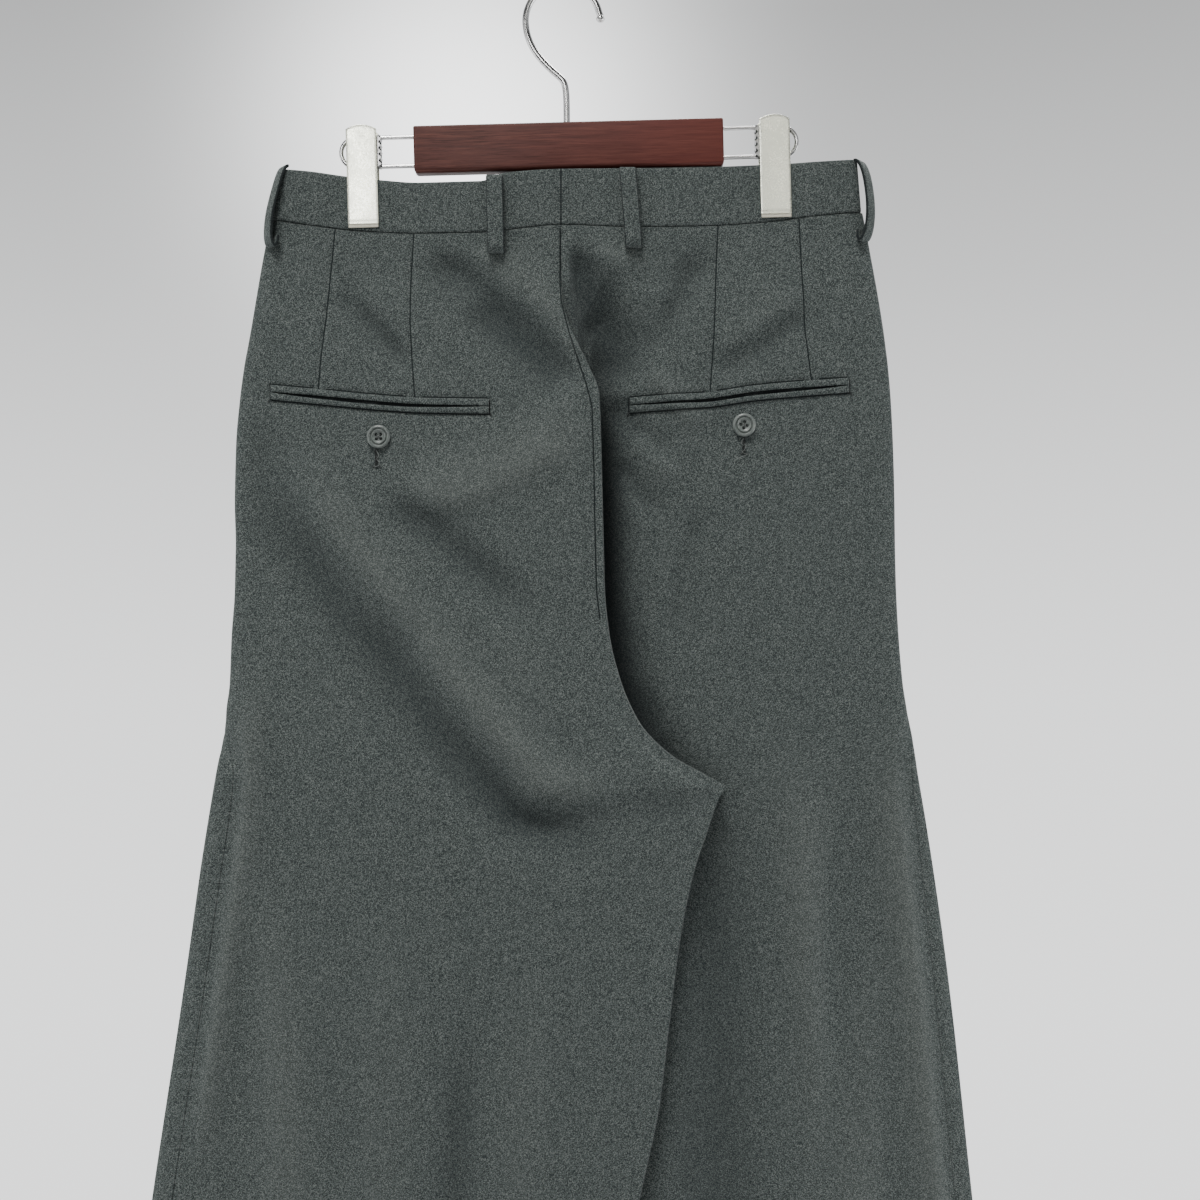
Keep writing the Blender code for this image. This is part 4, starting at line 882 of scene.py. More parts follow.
# ---------------------------------------------------------------- finishes
class Nodes:
    """The nodes of a material or a world, wired up to its last one."""

    def __init__(self, owner, last):
        owner.use_nodes = True
        self.owner = owner
        self.tree = owner.node_tree
        self.last = self.tree.nodes[last]

    def feed(self, socket, value):
        """Link an output to a socket, or set the socket where the value is a plain one."""
        if isinstance(value, bpy.types.NodeSocket):
            self.tree.links.new(value, socket)
        elif isinstance(value, tuple) and len(socket.default_value) == 4:
            socket.default_value = (*value, 1)
        else:
            socket.default_value = value

    def add(self, kind, inputs=None, **settings):
        """A new node, its inputs fed by name or place."""
        node = self.tree.nodes.new("ShaderNode" + kind)
        for key, value in settings.items():
            setattr(node, key, value)
        for name, value in (inputs or {}).items():
            self.feed(node.inputs[name], value)
        return node

    def maths(self, operation, *values, clamp=False):
        return self.add("Math", dict(enumerate(values)), operation=operation, use_clamp=clamp).outputs[0]

    def weigh(self, a, share_a, b, share_b=None):
        """a and b added up, each by its share."""
        if share_b is not None:
            b = self.maths("MULTIPLY", b, share_b)
        return self.maths("ADD", self.maths("MULTIPLY", a, share_a), b)

    def mapped(self, source, scale, turn=(0, 0, 0), shift=(0, 0, 0)):
        inputs = {"Vector": source, "Scale": scale, "Rotation": turn, "Location": shift}
        return self.add("Mapping", inputs).outputs[0]

    def place(self, scale=IN_MM, turn=(0, 0, 0)):
        """Where a point is on its object."""
        return self.mapped(self.add("TexCoord").outputs["Object"], scale, turn)

    def mark(self, name):
        """A value that the mesh holds at each of its points."""
        return self.add("Attribute", attribute_name=name).outputs["Fac"]

    def noise(self, vector, scale, detail=2.0, roughness=0.5, distortion=0.0):
        inputs = {"Vector": vector, "Scale": scale, "Detail": detail, "Roughness": roughness,
                  "Distortion": distortion}
        return self.add("TexNoise", inputs).outputs["Fac"]

    def cells(self, vector):
        """A random tone for each cell of a grid: one stitch of yarn."""
        whole = self.add("VectorMath", {0: vector}, operation="FLOOR").outputs[0]
        return self.add("TexWhiteNoise", {"Vector": whole}, noise_dimensions="2D").outputs["Value"]

    def ramp(self, value, *stops):
        """Colours, or greys given as one number, each at its place."""
        node = self.add("ValToRGB", {0: value})
        elements = node.color_ramp.elements
        while len(elements) < len(stops):
            elements.new(0.5)
        for element, (place, colour) in zip(elements, stops):
            element.position = place
            element.color = (*(colour if isinstance(colour, tuple) else (colour,) * 3), 1)
        return node.outputs[0]

    def blend(self, share, a, b, kind="MIX"):
        node = self.add("Mix", data_type="RGBA", blend_type=kind)
        for name, value in (("Factor", share), ("A", a), ("B", b)):
            self.feed(next(s for s in node.inputs if s.name == name and s.enabled), value)
        return next(s for s in node.outputs if s.enabled)

    def tint(self, colour, share, most, tone):
        """The colour turned toward a tone, by so much where the share is 1."""
        return self.blend(self.maths("MULTIPLY", share, most, clamp=True), colour, tone)

    def bump(self, height, strength, distance, **below):
        inputs = {"Strength": strength, "Distance": distance, "Height": height, **below}
        return self.add("Bump", inputs).outputs[0]

    def finish(self, **inputs):
        """Feed the last node, each input by its name with _ for a space, and give back the owner."""
        for name, value in inputs.items():
            self.feed(self.last.inputs[name.replace("_", " ")], value)
        return self.owner


def surface(name):
    return Nodes(bpy.data.materials.new(name), "Principled BSDF")


def suiting(name, seams):
    """Grey melange suiting: light and dark fibres mixed in the yarn, in a fine twill."""
    n = surface(name)
    weave = n.mapped(n.add("TexCoord").outputs["UV"], IN_MM)
    warp = n.cells(n.mapped(weave, (3.2, 1.5, 1), (0, 0, 0.02)))
    weft = n.cells(n.mapped(weave, (1.5, 3.2, 1), (0, 0, -0.03), (31, 17, 0)))
    fuzz = n.noise(n.mapped(weave, (2.6, 2.2, 1)), 1.0, 3.0, 0.8)
    fibre = n.weigh(n.weigh(warp, 0.5, weft, 0.5), 0.55, fuzz, 0.45)
    colour = n.ramp(fibre, (0.35, (0.015, 0.020, 0.020)), (0.46, (0.041, 0.051, 0.050)),
                    (0.54, (0.068, 0.081, 0.079)), (0.67, (0.160, 0.178, 0.170)))
    colour = n.tint(colour, n.noise(weave, 0.035), 0.2, (0.048, 0.060, 0.061))
    twill = n.add("TexWave", {"Vector": weave, "Scale": 0.5, "Distortion": 0.6, "Detail": 1.0},
                  wave_type="BANDS", bands_direction="DIAGONAL", wave_profile="SIN")
    normal = n.bump(n.weigh(twill.outputs["Fac"], 0.35, fuzz), 0.16, 0.0004)
    # With seams, the cloth also gets its dark seam lines and its painted shade and painted light, below.
    if seams:
        # A dark line along each flat seam and the band's centre-back seam, and painted shade along the belt
        # loops' edges, where they stand off the waistband.
        near = n.mark("seam_and_edge_shade_near")
        away = n.maths("ABSOLUTE", n.mark("seam_and_edge_shade_across"))
        line = n.maths("MULTIPLY", n.maths("LESS_THAN", away, 0.5), n.maths("GREATER_THAN", near, 0.4))
        colour = n.tint(colour, line, 0.92, (0.010, 0.013, 0.014))
        valley = n.maths("MAXIMUM", n.maths("MINIMUM", n.maths("MULTIPLY", away, 0.45), 1.0),
                         n.maths("SUBTRACT", 1.0, near))
        normal = n.bump(valley, 0.5, 0.0008, Normal=normal)
        # Painted shade in the folds' troughs and painted light on their ridges, by how deep each fold goes.
        fold = n.mark("fold")
        colour = n.tint(colour, fold, TROUGH_PAINTED_SHADE, (0.016, 0.021, 0.023))
        colour = n.tint(colour, fold, RIDGE_PAINTED_LIGHT, (0.175, 0.190, 0.178))
        # Painted shade inside the back pockets' open slits and deep in the tuck beside the folded edge.
        colour = n.tint(colour, n.mark("painted_slit_and_tuck_shade"), 0.93, (0.004, 0.005, 0.006))
    return n.finish(Base_Color=colour, Normal=normal, Roughness=0.92, Sheen_Weight=0.1,
                    Sheen_Roughness=0.4, Sheen_Tint=(0.75, 0.8, 0.8), Specular_IOR_Level=0.15)


def thread_finish(name, colour):
    n = surface(name)
    ply = n.noise(n.place(), 3.0, 2.0, 0.6)
    tone = n.ramp(ply, (0.3, tuple(0.5 * c for c in colour)), (0.7, tuple(1.5 * c for c in colour)))
    return n.finish(Base_Color=tone, Normal=n.bump(ply, 0.4, 0.0002), Roughness=0.6, Sheen_Weight=0.1)


def horn_finish():
    """Dull grey button resin with faint swirls."""
    n = surface("grey_horn_button")
    swirl = n.noise(n.place((1000, 1000, 400)), 0.35, 3.0, 0.6, 1.4)
    tone = n.ramp(swirl, (0.3, (0.08, 0.095, 0.090)), (0.55, (0.135, 0.155, 0.147)),
                  (0.8, (0.23, 0.25, 0.235)))
    fine = n.noise(n.place(), 4.0)
    return n.finish(Base_Color=tone, Roughness=n.ramp(fine, (0.3, 0.28), (0.7, 0.46)),
                    Normal=n.bump(fine, 0.12, 0.0002))


def wood_finish():
    """Dark red-brown wood under a satin varnish, redder toward the right end."""
    n = surface("red_brown_varnish")
    place = n.place(IN_MM, (0, TILT, 0))
    grain = n.noise(n.mapped(place, (0.02, 0.5, 0.55)), 1.0, 6.0, 0.62, 0.4)
    pore = n.noise(n.mapped(place, (0.06, 2.2, 2.4)), 1.0, 3.0, 0.7)
    shade = n.noise(n.mapped(place, (0.012, 0.03, 0.03)), 1.0)
    tone = n.ramp(grain, (0.30, (0.034, 0.013, 0.011)), (0.48, (0.070, 0.024, 0.019)),
                  (0.62, (0.102, 0.036, 0.027)), (0.80, (0.14, 0.055, 0.040)))
    pores = n.ramp(pore, (0.38, (0.45, 0.38, 0.36)), (0.5, 1.0))
    along = n.add("SeparateXYZ", {0: place}).outputs["X"]
    right = n.maths("MULTIPLY", n.maths("ADD", along, 60.0), 0.006, clamp=True)
    colour = n.blend(n.weigh(right, 0.5, shade, 0.25), n.blend(1.0, tone, pores, "MULTIPLY"),
                     (0.115, 0.022, 0.016))
    return n.finish(Base_Color=colour, Roughness=n.ramp(pore, (0.3, 0.6), (0.7, 0.42)),
                    Normal=n.bump(n.weigh(pore, 0.5, grain), 0.12, 0.0005), Coat_Weight=0.05,
                    Coat_Roughness=0.3, Specular_IOR_Level=0.25)


def metal_finish(name, colour, rough, streaks, relief):
    """Plated metal: fine scuffs along its length, and a little unevenness in its gloss."""
    n = surface(name)
    scuff = n.noise(n.place(streaks), 1.0, 4.0, 0.65)
    blotch = n.noise(n.place((90, 90, 90)), 1.0, 3.0, 0.6)
    tone = n.ramp(n.weigh(blotch, 0.6, scuff, 0.4), (0.35, tuple(c * 0.84 for c in colour)), (0.6, colour))
    gloss = n.ramp(n.weigh(scuff, 0.6, blotch, 0.4), (0.3, rough * 0.7), (0.7, rough * 1.35))
    return n.finish(Base_Color=tone, Roughness=gloss, Normal=n.bump(scuff, relief, 0.0002), Metallic=1.0)


def rubber_finish():
    n = surface("cream_pad_rubber")
    grit = n.noise(n.place(), 1.6, 3.0, 0.6)
    tone = n.ramp(grit, (0.3, (0.52, 0.50, 0.40)), (0.7, (0.70, 0.68, 0.58)))
    return n.finish(Base_Color=tone, Normal=n.bump(grit, 0.2, 0.0002), Roughness=0.6)


def floor_finish():
    n = surface("pale_floor")
    dust = n.noise(n.place((14, 14, 14)), 1.0, 3.0, 0.6)
    tone = n.ramp(dust, (0.3, (0.66, 0.66, 0.67)), (0.7, (0.70, 0.70, 0.71)))
    return n.finish(Base_Color=tone, Roughness=0.8)


# ---------------------------------------------------------------- the trousers
SEAM_SINK = 0.5              # how far the cloth goes in at a flat seam
PANEL_NAMES = {"bl": "back_left", "br": "back_right", "fl": "front_left", "fr": "front_right"}


def make_panels(cloth):
    """Two back and two front panels, each from the waistband's seam to the hem."""
    panels = {}
    for panel, node in PANEL_NAMES.items():
        x, y, depth, fold = panel_grid(panel)
        hung = hang(x, depth)
        across, near = flat_seam_marks(panel, x, hung)
        y = y + INWARD[panel[0]] * SEAM_SINK * np.exp(-(across / 1.6) ** 2) * near
        run = np.hypot(np.diff(x, axis=1, prepend=x[:, :1]), np.diff(y, axis=1, prepend=y[:, :1]))
        weave = np.dstack((np.cumsum(run, axis=1), depth))
        marks = {"seam_and_edge_shade_across": across, "seam_and_edge_shade_near": near, "fold": fold,
                 "painted_slit_and_tuck_shade": slit_and_tuck_painted_shade(panel, x, hung)}
        panels[panel] = cloth_wall(node, np.dstack((x, y, -hung)), CLOTH / 2, cloth, weave, marks)
    return panels


def band_path(side):
    """The waistband's run from the centre back, round the side, to the centre front."""
    sign = OUTWARD[side]
    edge = OUTLINE.at(SIDES[side], 157) - sign * BAND / 2
    centre = EDGES.at("bl", PANEL_TOP)
    near = [18, 33, 46, 66, 88, 108, 124, 140, 156, 170]
    points = [[centre + sign * 0.03, -WAIST.at("gap", centre)]]
    points += [[sign * x, -WAIST.at("gap", sign * x)] for x in near]
    points += [[edge - sign * 5, -5.4], [edge, -4.4], [edge, 4.4], [edge - sign * 5, 5.4]]
    points += [[sign * x, WAIST.at("gap", sign * x)] for x in near[:0:-1]]
    if side == "l":
        points += [[-24, 8.6], [-12, 10.4], [0, 11.9], [18, 11.7], [36, 11.2]]
    else:
        points += [[20, 8.7], [4, 9.0]]
    return points


BAND_SHARES = np.array([0, 0.012, 0.04, 0.1, 0.2, 0.3, 0.4, 0.5, 0.6, 0.7, 0.8, 0.9, 0.965, 0.99, 1.0])
BAND_EDGE = np.array([0.5, 0.8, 1, 1, 1, 1, 1, 1, 1, 1, 1, 1, 1, 0.8, 0.45])


def make_waistband(cloth):
    """Two bands, joined at the centre back by a seam that shows as a dark line."""
    bands = {}
    for side, node in (("l", "waistband_left"), ("r", "waistband_right")):
        control = band_path(side)
        spans = len(control) - 3
        curve = spline(control, places_along([10] * spans))
        x = curve[:, 0][None, :]
        share = BAND_SHARES[:, None]
        shrink = 1 - np.where(x < 0, 0.026, 0.014) * share * smooth((abs(x) - 120) / 70)
        depth = mix(WAIST.at("seam", x), WAIST.at("top", x), share)
        y = np.repeat(curve[:, 1][None, :], len(BAND_SHARES), axis=0)
        grid = np.dstack((x * shrink, y, -depth))
        run = np.cumsum(np.linalg.norm(np.diff(curve, axis=0, prepend=curve[:1]), axis=1))
        across = np.tile(np.minimum(run * 1.6, 8), (len(BAND_SHARES), 1))
        bands[side] = cloth_wall(node, grid, BAND / 2 * BAND_EDGE[:, None], cloth,
                                 marks={"seam_and_edge_shade_across": across, "seam_and_edge_shade_near": smooth((7 - across) / 3)})
    return bands


def loop_strip(node, centres, angle, cloth):
    """A folded strip of cloth along its centre line, facing out at an angle from straight back."""
    across = np.array([math.cos(angle), math.sin(angle), 0])
    steps = np.array([-1, -0.95, -0.82, -0.5, 0, 0.5, 0.82, 0.95, 1])
    taper = np.array([0.35, 0.75, 1, 1.02, 1.02, 1.02, 1, 0.75, 0.35])
    rows = [[centre + across * (step * LOOP_WIDTH / 2) for step in steps] for centre in centres]
    # Painted shade: the marks put a dark line along both edges of the strip, where it stands off the
    # waistband.
    across = np.tile(LOOP_WIDTH / 2 * (1 - abs(steps)), (len(rows), 1))
    return cloth_wall(node, rows, LOOP_WALL / 2 * taper[None, :], cloth,
                      marks={"seam_and_edge_shade_across": across, "seam_and_edge_shade_near": np.ones_like(across)})


def make_belt_loop(node, place, facing, lean, length, feet, cloth):
    """A loop sewn at its two ends that stands off for the belt, its lower end folded under."""
    upper, lower = (foot + SEAM_GAP for foot in feet)
    stand = LOOP_STAND + LOOP_WALL / 2
    route = ((upper, 1.4), (upper + 1.6, 1.2), (upper + stand - 1.2, 1.4), (upper + stand, 4.6),
             (mix(upper, lower, 0.35) + stand, length * 0.35),
             (mix(upper, lower, 0.7) + stand, length * 0.7), (lower + stand, length - 5),
             (lower + stand - 0.8, length - 1.6), (lower + 1.8, length - 1.2), (lower, length - 1.0))
    centres = []
    for away, down in spline(route, places_along([6] * (len(route) - 3))):
        sway = lean * (down / length - 0.5)
        centres.append(np.array(place) + np.array([facing * -sway, facing * away, -down]))
    return loop_strip(node, centres, 0 if facing < 0 else math.pi, cloth)


# The centre lines of the two loops at the side seams, which stand out past the waistband.
SIDE_LOOPS = {
    "left": ((-185.6, -2.0, 121.6), (-186.4, -2.6, 121.4), (-188.2, -4.0, 124.0), (-190.9, -6.0, 135),
             (-194.0, -7.6, 148.4), (-195.4, -8.2, 157), (-196.0, -8.5, 166), (-195.7, -8.4, 171.8),
             (-194.6, -8.0, 175.4), (-193.0, -7.4, 175.8), (-192.0, -7.0, 173.4), (-191.4, -6.8, 169.0)),
    "right": ((197.2, -2.0, 117.8), (198.4, -2.4, 117.4), (200.6, -4.0, 120.0), (203.2, -6.0, 129),
              (205.0, -7.2, 143.7), (205.2, -7.6, 154), (204.4, -7.4, 163), (202.6, -6.8, 169.4),
              (200.6, -6.0, 171.6), (199.4, -5.4, 170.8), (199.0, -5.0, 168.4), (199.2, -4.8, 164.8)),
}


def make_belt_loops(panels, cloth):
    """Two loops behind, two in front, and one at each side seam."""
    half = BAND / 2
    loops = []
    for node, x, lean, facing, length in (("loop_back_left", -44.4, 1.4, -1, 52.5),
                                          ("loop_back_right", 45.2, 4.4, -1, 53.5),
                                          ("loop_front_left", -84, 1.0, 1, 52),
                                          ("loop_front_right", 84, -1.2, 1, 52)):
        row = "b" if facing < 0 else "f"
        tree = tree_of(panels[row + "l"], panels[row + "r"])
        top = float(WAIST.at("top", x))
        gap = float(WAIST.at("gap", x))
        slope = abs(WAIST.at("gap", x + 6) - WAIST.at("gap", x - 6)) / 2
        foot = max(facing * lay(tree, x + step, top + length, 0, facing)[1] for step in (-5.5, 0, 5.5))
        loops.append(make_belt_loop(node, (x, facing * gap, -top), facing, lean, length,
                                    (half + slope, max(foot - gap, half) + 0.2), cloth))
    for side, sign in (("left", -1), ("right", 1)):
        line = spline(SIDE_LOOPS[side], places_along([7] * (len(SIDE_LOOPS[side]) - 3)))
        centres = line * np.array([1, 1, -1])
        loops.append(loop_strip(f"loop_side_{side}", centres, sign * math.radians(53), cloth))
    return loops


POCKETS = {
    "left": Table("x depth", (-193.5, 273.2), (-149, 277.8), (-117, 281.0), (-94, 282.6),
                  (-48.3, 283.6)),
    "right": Table("x depth", (44.9, 281.5), (95, 278.6), (129, 273.6), (190.4, 268.2)),
}


def slit_open(side, x):
    """How far a pocket's slit hangs open at x, in mm: most a little inward of its middle."""
    first, last = POCKETS[side].key[0], POCKETS[side].key[-1]
    share = np.clip((x - first) / (last - first), 0, 1)
    if side == "right":
        share = 1 - share
    return 2.3 * np.sin(math.pi * share ** 0.85) ** 0.8


def make_welts(panels, cloth):
    """An upper and a lower welt for each back pocket, parted where the slit hangs open."""
    welts = []
    for side, panel in (("left", "bl"), ("right", "br")):
        tree = tree_of(panels[panel])
        slit = POCKETS[side]
        for part, upper in (("upper", -1), ("lower", 1)):
            rows = []
            for share in (-1, -0.9, -0.6, 0, 0.6, 0.9, 1):
                row = []
                for x in np.linspace(slit.key[0], slit.key[-1], 61):
                    lip = 0.2 + slit_open(side, x) * (0.25 if part == "upper" else 0.75)
                    high = (WELT_HEIGHT + 0.2 - lip) / 2
                    crown = 0.5 * (1 - share * share)
                    depth = slit.at("depth", x) + upper * (lip + high) + share * high
                    row.append(lay(tree, x, depth, LAY_GAP + 0.4 + crown))
                rows.append(row)
            half = LAID / 2 * np.array([0.5, 0.8, 1, 1, 1, 0.8, 0.5])[:, None]
            welts.append(cloth_wall(f"welt_{side}_{part}", rows, half, cloth))
    return welts


def make_fly(panels, cloth):
    """The front fly: the left front's edge, laid over the centre-front seam and curved at its foot."""
    tree = tree_of(panels["fl"], panels["fr"])
    rows = []
    for share in np.linspace(0, 1, 41):
        depth = mix(FLY_TOP, FLY_FOOT, share)
        wide = FLY_WIDTH * math.sqrt(max(1 - max((share - 0.62) / 0.42, 0) ** 2, 0.02))
        across = [(EDGES.at("fl", depth) - FLY_LAP, 0.0)]
        across += [(FLY_NEAR + wide * step, step) for step in np.linspace(0, 1, 12)]
        rows.append([lay(tree, x, depth, LAY_GAP + 0.9 + 0.8 * (1 - step), 1) for x, step in across])
    return cloth_wall("fly", rows, LAID / 2, cloth)


def front_pocket_x(share):
    """How far out a slanted front pocket's edge lies, from 0 at its top to 1 at its foot."""
    return mix(158, 196, smooth(share * 0.9))


def make_front_pockets(panels, cloth):
    """A narrow facing along each slanted pocket."""
    facings = []
    for side, panel, sign in (("left", "fl", -1), ("right", "fr", 1)):
        tree = tree_of(panels[panel])
        rows = []
        for share in np.linspace(0, 1, 41):
            depth = mix(172, 338, share)
            rows.append([lay(tree, sign * (front_pocket_x(share) + step), depth, LAY_GAP + 0.5, 1)
                         for step in np.linspace(-5, 5, 9)])
        taper = np.array([0.5, 0.85, 1, 1, 1, 1, 1, 0.85, 0.5])
        facings.append(cloth_wall(f"pocket_front_{side}", rows, LAID / 2 * taper[None, :], cloth))
    return facings


# ---------------------------------------------------------------- the hanger
def hanger_point(along, up, y=0.0):
    """A place on the hanger in mm, from the middle of its bar, turned with its tilt."""
    x0, d0 = BAR_CENTRE
    return (x0 + along * math.cos(TILT) - up * math.sin(TILT), y,
            -d0 + along * math.sin(TILT) + up * math.cos(TILT))


def onto_hanger(piece):
    """Move a mesh shaped round the bar's middle, in mm, to its place in metres."""
    x0, d0 = BAR_CENTRE
    place = Matrix.Translation((x0 * MM, 0, -d0 * MM)) @ Matrix.Rotation(-TILT, 4, "Y")
    piece.data.transform(place @ Matrix.Scale(MM, 4))
    piece.data.update()
    return piece


def new_block(name, size, finish):
    """A block round the origin, its size in mm."""
    deselect()
    bpy.ops.mesh.primitive_cube_add(size=1, location=(0, 0, 0))
    piece = bpy.context.object
    piece.name = name
    edit(piece)
    bpy.ops.transform.resize(value=size)
    done()
    piece.data.materials.append(finish)
    return piece


def make_bar(finish):
    """The wood bar: long edges softened, and the lower corners rounded more."""
    bar = new_block("hanger_bar_wood", BAR_SIZE, finish)
    edit(bar).select_all(action="DESELECT")
    done()
    for edge in bar.data.edges:
        a, b = (bar.data.vertices[i].co for i in edge.vertices)
        edge.select = abs(a.y - b.y) > 1 and a.z < 0
    bpy.ops.object.mode_set(mode="EDIT")
    bpy.ops.mesh.bevel(offset=3.0, segments=5, affect="EDGES")
    done()
    soften(bar, 1.1, 4, 40)
    return settle(bar, "hanger_bar", 35)


def make_wires(finish):
    """Each side's wire leaves the bar, turns round past the clip and goes back in."""
    half = BAR_SIZE[0] / 2
    top, bottom = WIRE_OFFSET
    radius = (top - bottom) / 2
    middle = (top + bottom) / 2
    wires = []
    for end, side in ((-1, "left"), (1, "right")):
        straight = half + WIRE_REACH[side] - radius
        route = [hanger_point(end * a, top) for a in (half - WIRE_INSIDE, half + 8, straight)]
        for k in range(1, 24):
            angle = math.pi * k / 24
            route.append(hanger_point(end * (straight + radius * math.sin(angle)),
                                      middle + radius * math.cos(angle)))
        route += [hanger_point(end * a, bottom) for a in (straight, half + 8, half - WIRE_INSIDE)]
        wire = tube(f"wire_{side}_rod", route, WIRE_RADIUS, finish)
        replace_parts(wire, f"wire_{side}")
        wires.append(wire)
    return wires


def make_hook(finish):
    """A wire hook: a stem, a slanted neck, an open round, and a ball at the tip."""
    centre = HOOK_ROUND - HOOK_RADIUS
    foot = BAR_CENTRE[1] - BAR_SIZE[2] / 2 + 10
    neck = [(STEM_X, foot), (STEM_X, 84), (STEM_X - 0.2, 74), (1.9, 67.5), (0.4, 62.6), (-4.6, 58.6),
            (-10.4, 53.4), (-17.4, 45.8), (-21.8, 38.2), (-24.2, 31.0)]
    for k in range(7):
        angle = math.radians(188 - 4 * k)
        neck.append((HOOK_ROUND * math.cos(angle), centre - HOOK_ROUND * math.sin(angle)))
    route = [tuple(place) for place in spline(neck, places_along([5] * (len(neck) - 3)))]
    for k in range(1, 27):
        angle = math.radians(164 - 152 * k / 26)
        route.append((HOOK_ROUND * math.cos(angle), centre - HOOK_ROUND * math.sin(angle)))
    route += [(25.2, 19.2)]
    radii = [HOOK_RADIUS] * len(route)
    x, depth = route[-1]
    for k in range(1, 13):
        turn = math.pi * k / 12
        radii.append(max(BALL_RADIUS * math.sin(turn), HOOK_RADIUS if k < 3 else 0.25))
        route.append((x, depth + 2.4 - 2.4 * math.cos(turn)))
    hook = tube("hanger_hook_wire", [(x, 0, -depth) for x, depth in route], 1.0, finish, radii=radii)
    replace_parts(hook, "hanger_hook")
    return hook


def settle(piece, node, degrees=40):
    """Shade a piece of the hanger and move it to its place, where it stands for its node."""
    smooth_shading(piece, degrees)
    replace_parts(onto_hanger(piece), node)
    return piece


# How far out a clip's plate lies, at shares of its height from the middle.
CLIP_BEND = ((0.5, 6.3), (0.42, 6.2), (0.2, 5.8), (-0.1, 5.4), (-0.36, 5.3), (-0.46, 5.3), (-0.5, 5.7))


def clip_plate(name, facing, along, up, jaw, metal):
    """A pressed plate, bent in to its jaw, with turned edges and its upper corners lowered."""
    wide, tall = CLIP_SIZE
    deselect()
    bpy.ops.mesh.primitive_grid_add(x_subdivisions=12, y_subdivisions=30, size=1, location=(0, 0, 0))
    plate = bpy.context.object
    plate.name = name
    shares, aways = zip(*((share, min(away, jaw) if share < -0.4 else away)
                          for share, away in CLIP_BEND[::-1]))
    for vertex in plate.data.vertices:
        across, share = vertex.co.x * 2, vertex.co.y
        lowered = 2.9 * across * across * smooth((share - 0.3) / 0.2)
        away = float(read_smoothly(shares, aways, share)) + 0.15 * (1 - across * across)
        vertex.co = (along + across * (wide / 2 - 0.1), facing * away, up + tall * share - lowered)
    mesh = edit(plate)
    mesh.select_all(action="DESELECT")
    mesh.select_mode(type="EDGE")
    mesh.select_non_manifold(extend=False)
    mesh.extrude_region_move(TRANSFORM_OT_translate={"value": (0, -facing * 1.5, 0)})
    mesh.select_all(action="SELECT")
    mesh.normals_make_consistent(inside=False)
    done()
    plate.data.materials.append(metal)
    finish_with(plate, "sheet", "SOLIDIFY", thickness=0.8, offset=-1)
    soften(plate, 0.6, 3, 40)
    return plate


def clip_guide(name, along, plain):
    """The block that slides on the wires, with ribs down its inner side."""
    guide = new_block(name, GUIDE_SIZE, plain)
    edit(guide).subdivide(number_cuts=23)
    done()
    inward = math.copysign(1, along)
    for vertex in guide.data.vertices:
        if vertex.co.x * inward < 0.1 - GUIDE_SIZE[0] / 2:
            vertex.co.x += inward * RIB_DEPTH * (1 - math.cos(vertex.co.z * 2 * math.pi / RIB_STEP)) / 2
    soften(guide, 0.35, 2, 50)
    guide.data.transform(Matrix.Translation((along - inward * 6.0, 0, sum(WIRE_OFFSET) / 2)))
    return guide


def make_clip(side, metal, plain, rubber):
    """A sliding clip: two plates, each with a pad that grips the waistband, and a guide between them."""
    x0, d0 = CLIP_PLACE[side]
    wide, tall = CLIP_SIZE
    along = (x0 - BAR_CENTRE[0]) / math.cos(TILT)
    up = -(d0 - BAR_CENTRE[1]) - along * math.sin(TILT)
    band_face = WAIST.at("gap", x0) + BAND / 2
    jaw = band_face + PAD_WALL + 2.7 * SEAM_GAP + CLIP_SHEET / 2
    pieces = []
    for part, facing in (("front", -1), ("rear", 1)):
        plate = clip_plate(f"clip_{side}_{part}_plate", facing, along, up, jaw, metal)
        pad = new_block(f"clip_{side}_{part}_pad", (wide - 0.6, PAD_WALL, PAD_HEIGHT), rubber)
        soften(pad, 0.4, 3)
        pad_y = facing * (band_face + 1.7 * SEAM_GAP + PAD_WALL / 2)
        pad.data.transform(Matrix.Translation((along, pad_y, up + 1.2 - tall / 2)))
        pieces += [settle(plate, f"clip_{side}_{part}"), settle(pad, f"clip_{side}_pad_{part}")]
    guide = clip_guide(f"clip_{side}_wire_guide", along, plain)
    return [*pieces, settle(guide, f"clip_{side}_guide")]


# ---------------------------------------------------------------- buttons and sewing
BUTTON_PROFILE = ((0.0, 0.75), (2.6, 0.8), (3.5, 1.05), (4.1, 1.75), (4.5, 2.05), (4.8, 1.85), (5.15, 0.95),
                  (5.5, 1.0), (5.9, 2.1), (6.5, 2.5), (7.1, 2.3), (7.6, 1.6), (7.75, 1.0), (7.5, 0.4),
                  (6.8, 0.05), (0.0, 0.0))
HOLE_RADIUS = 1.05
HOLE_REACH = 2.05            # from the button's middle to the middle of a hole
THREAD_RISE = ((1, 0.3), (0.85, 1.0), (0.6, 1.3))    # share of the way out to a hole, and height


